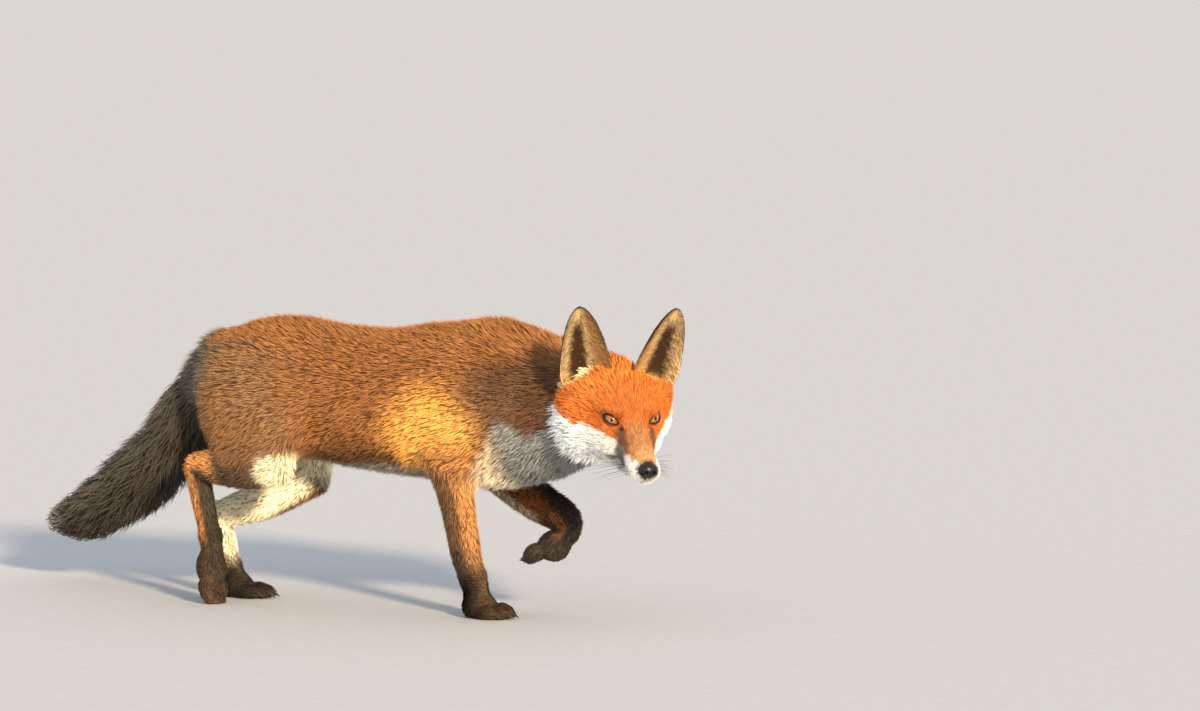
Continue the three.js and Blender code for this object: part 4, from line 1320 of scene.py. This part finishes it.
def make_eye(side, material):
    gaze = unit(GAZE[side])
    across = unit(np.cross((0, 0, 1), gaze))
    up = np.cross(gaze, across)
    front = np.linspace(0, 1, 40) ** 0.9 * IRIS_EDGE
    tilt = np.concatenate([front, np.radians([50, 60, 80, 100, 130, 160, 179])])
    around = np.linspace(0, 2 * math.pi, EYE_ROUND, endpoint=False)
    t, a = (grid.ravel() for grid in np.meshgrid(tilt, around, indexing="ij"))
    radius = EYE_RADIUS + CORNEA * smooth(t, math.radians(38), 0)
    local = np.stack([np.cos(t), np.sin(t) * np.cos(a), np.sin(t) * np.sin(a)], 1) * radius[:, None]
    points = from_head(eye_middle(side) + local @ np.array([gaze, across, up]))
    flat = EYE_RADIUS * np.sin(t)
    pupil = np.hypot(flat * np.cos(a) / PUPIL_HALF[0], flat * np.sin(a) / PUPIL_HALF[1])
    fibres = 0.5 + 0.5 * np.sin(a * 31 + 2 * np.sin(a * 7))
    tint = np.array(IRIS) * (0.75 + 0.35 * fibres)[:, None]
    for colour, mask in (
        (IRIS_INNER, smooth(flat, 4.6, 2.6) * 0.5),
        (IRIS_OUTER, smooth(t, IRIS_EDGE * 0.84, IRIS_EDGE)),
        (PUPIL, smooth(pupil, 1.12, 0.92)),
        (EYE_WHITE, smooth(t, IRIS_EDGE, IRIS_EDGE * 1.06)),
    ):
        tint = painted(tint, colour, mask)
    quads = np.roll(ring_quads(len(tilt), EYE_ROUND)[:, ::-1], 1, 1)
    name = "eye_left" if side > 0 else "eye_right"
    piece = new_piece("eyeball_" + name.split("_")[1], points, quads, material, "eye", tint)
    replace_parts(piece, name)


NOSE_CELL = 0.6
NOSE_ADDED = ((63.5, 5.0, -31.5), (8.0, 5.0, 6.0))
NOSE_CUTS = [  # nostril, slit and groove: centre, radii and how softly it's cut
    ((73.0, 4.2, -30.5), (5.0, 2.1, 1.9), 1.2), ((70.5, 8.2, -32.2), (4.5, 2.4, 0.8), 0.8),
    ((74.5, 0, -34.0), (3.0, 0.55, 6.0), 0.8),
]


def nose_field(p):
    h = folded(to_head(p))
    value = ellipse_distance(h - NOSE_CENTRE, np.array([8.0, 9.6, 8.0]))
    value = joined(value, ellipse_distance(h - NOSE_ADDED[0], np.array(NOSE_ADDED[1])), 3)
    for centre, radii, melt in NOSE_CUTS:
        value = carved(value, ellipse_distance(h - centre, np.array(radii)), melt)
    return value


def make_nose(material):
    centre = from_head(NOSE_CENTRE)
    points, quads = surface(nose_field, centre - 16, centre + 16, NOSE_CELL, 4)
    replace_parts(new_piece("nose_leather", points, quads, material, "nose_leather"), "nose")


def tube(path, radii, sides=8):
    """Points and quads of a tapered tube along a path."""
    path, radii = np.asarray(path, float), np.asarray(radii, float)
    direction = unit(np.gradient(path, axis=0))
    first = unit(np.cross(direction, (0.13, 0.31, 0.94)))
    second = np.cross(direction, first)
    a = np.linspace(0, 2 * math.pi, sides, endpoint=False)
    ring = np.cos(a)[None, :, None] * first[:, None] + np.sin(a)[None, :, None] * second[:, None]
    points = (path[:, None] + ring * radii[:, None, None]).reshape(-1, 3)
    return points, ring_quads(len(path), sides)


CLAW_LENGTH, CLAW_RADIUS, CLAW_FLOOR_GAP = 11, 2.0, 0.2


def make_claws(name, material):
    paw = PAWS[name]
    claws = []
    for side, reach in TOES:
        start = reach * paw["reach"] + TOE_RADII[0] - 4
        t = np.linspace(0, 1, 7)
        path = [foot_point(paw, start + CLAW_LENGTH * u, side * paw["spread"], -5.5 - 4.2 * u**1.6) for u in t]
        claws.append(tube(path, CLAW_RADIUS * (1 - t**1.5) + 0.25))
    points, quads = merged(claws)
    points[:, 2] = np.maximum(points[:, 2], CLAW_FLOOR_GAP)
    new_piece("claws_" + name, points, quads, material, "paw_coat")


def make_whiskers(material):
    rng = np.random.default_rng(5)
    hairs = []
    for side in (1, -1):
        for row in range(3):
            for i in range(5):
                start = np.array([54 - 6.2 * i, side * (11.5 + 1.1 * i), -31 - 2.6 * row])
                out = unit([-0.55 - 0.06 * i, side * (1 - 0.05 * i), -0.18 - 0.16 * row + 0.05 * rng.normal()])
                reach = (30 + 6 * i) * rng.uniform(0.8, 1.1)
                t = np.linspace(0, 1, 8)
                path = start + np.multiply.outer(t * reach, out)
                path = path + np.multiply.outer(t**2 * reach * 0.22, (-0.5, 0, -0.5))
                hairs.append(tube(from_head(path), 0.17 * (1 - t) + 0.04, 5))
    points, quads = merged(hairs)
    new_piece("whiskers", points, quads, material, "face_coat")


# ---------------------------------------------------------------- studio
PHOTO_WIDTH, SENSOR = 1200, 36
CAMERA_TURN, CAMERA_RISE, CAMERA_FAR, PIXELS_PER_MM = 30, 5, 14000, 0.92
CAMERA_AIM = (187, 131, 276)
SUN_TURN, SUN_RISE, SUN_STRENGTH, SUN_WIDTH, SUN_COLOUR = 50, 20, 5.0, 6, (1.0, 0.80, 0.55)
SKY_COLOUR, SKY_STRENGTH = (0.80, 0.86, 0.95, 1), 0.78
FLOOR_HALF = 120.0  # metres


def direction(turn, rise):
    """Out from the fox: turn degrees from -Y towards +X, and rise degrees above the floor."""
    turn, rise = math.radians(turn), math.radians(rise)
    return np.array([math.sin(turn) * math.cos(rise), -math.cos(turn) * math.cos(rise), math.sin(rise)])


def hung(name, data, place, back):
    """A camera or a light at a place, with its back that way."""
    made = bpy.data.objects.new(name, data)
    made.location = place
    made.rotation_mode = "QUATERNION"
    made.rotation_quaternion = Vector(-back).to_track_quat("-Z", "Y")
    bpy.context.scene.collection.objects.link(made)
    return made


def make_camera():
    back = direction(CAMERA_TURN, CAMERA_RISE)
    data = bpy.data.cameras.new("camera")
    data.sensor_width = SENSOR
    data.lens = SENSOR * PIXELS_PER_MM * CAMERA_FAR / PHOTO_WIDTH
    data.clip_end = 100
    bpy.context.scene.camera = hung("camera", data, placed(np.array(CAMERA_AIM) + back * CAMERA_FAR), back)


def make_sun():
    """A low warm light, soft at its shadows' edges."""
    data = bpy.data.lights.new("key", "SUN")
    data.energy, data.angle, data.color = SUN_STRENGTH, math.radians(SUN_WIDTH), SUN_COLOUR
    back = direction(SUN_TURN, SUN_RISE)
    hung("key", data, back * 3, back)


def make_studio():
    world = bpy.data.worlds.new("studio")
    bpy.context.scene.world = world
    world.use_nodes = True
    sky = world.node_tree.nodes["Background"].inputs
    sky["Color"].default_value, sky["Strength"].default_value = SKY_COLOUR, SKY_STRENGTH
    make_sun()
    mesh = bpy.data.meshes.new("floor")
    corners = [(x * FLOOR_HALF, y * FLOOR_HALF, 0) for x, y in ((-1, -1), (1, -1), (1, 1), (-1, 1))]
    mesh.from_pydata(corners, [], [(0, 1, 2, 3)])
    mesh.materials.append(fine_material("floor", 0.85, dict(Scale=60.0), [(0.3, 0.58), (0.7, 0.61)]))
    floor = bpy.data.objects.new("floor", mesh)
    bpy.context.scene.collection.objects.link(floor)
    bpy.context.scene.view_settings.view_transform = "Standard"


def build():
    skin = read_skin()
    make_skin(skin, skin_material())
    coat = coat_material()
    make_coat(skin, coat)
    eye = eye_material()
    for side, seed in ((1, 51), (-1, 52)):
        make_ear_coat(side, coat, seed)
        make_eye(side, eye)
    make_nose(leather_material())
    horn = horn_material()
    for name in PAWS:
        make_claws(name, horn)
    make_whiskers(horn)
    make_studio()
    make_camera()


build()
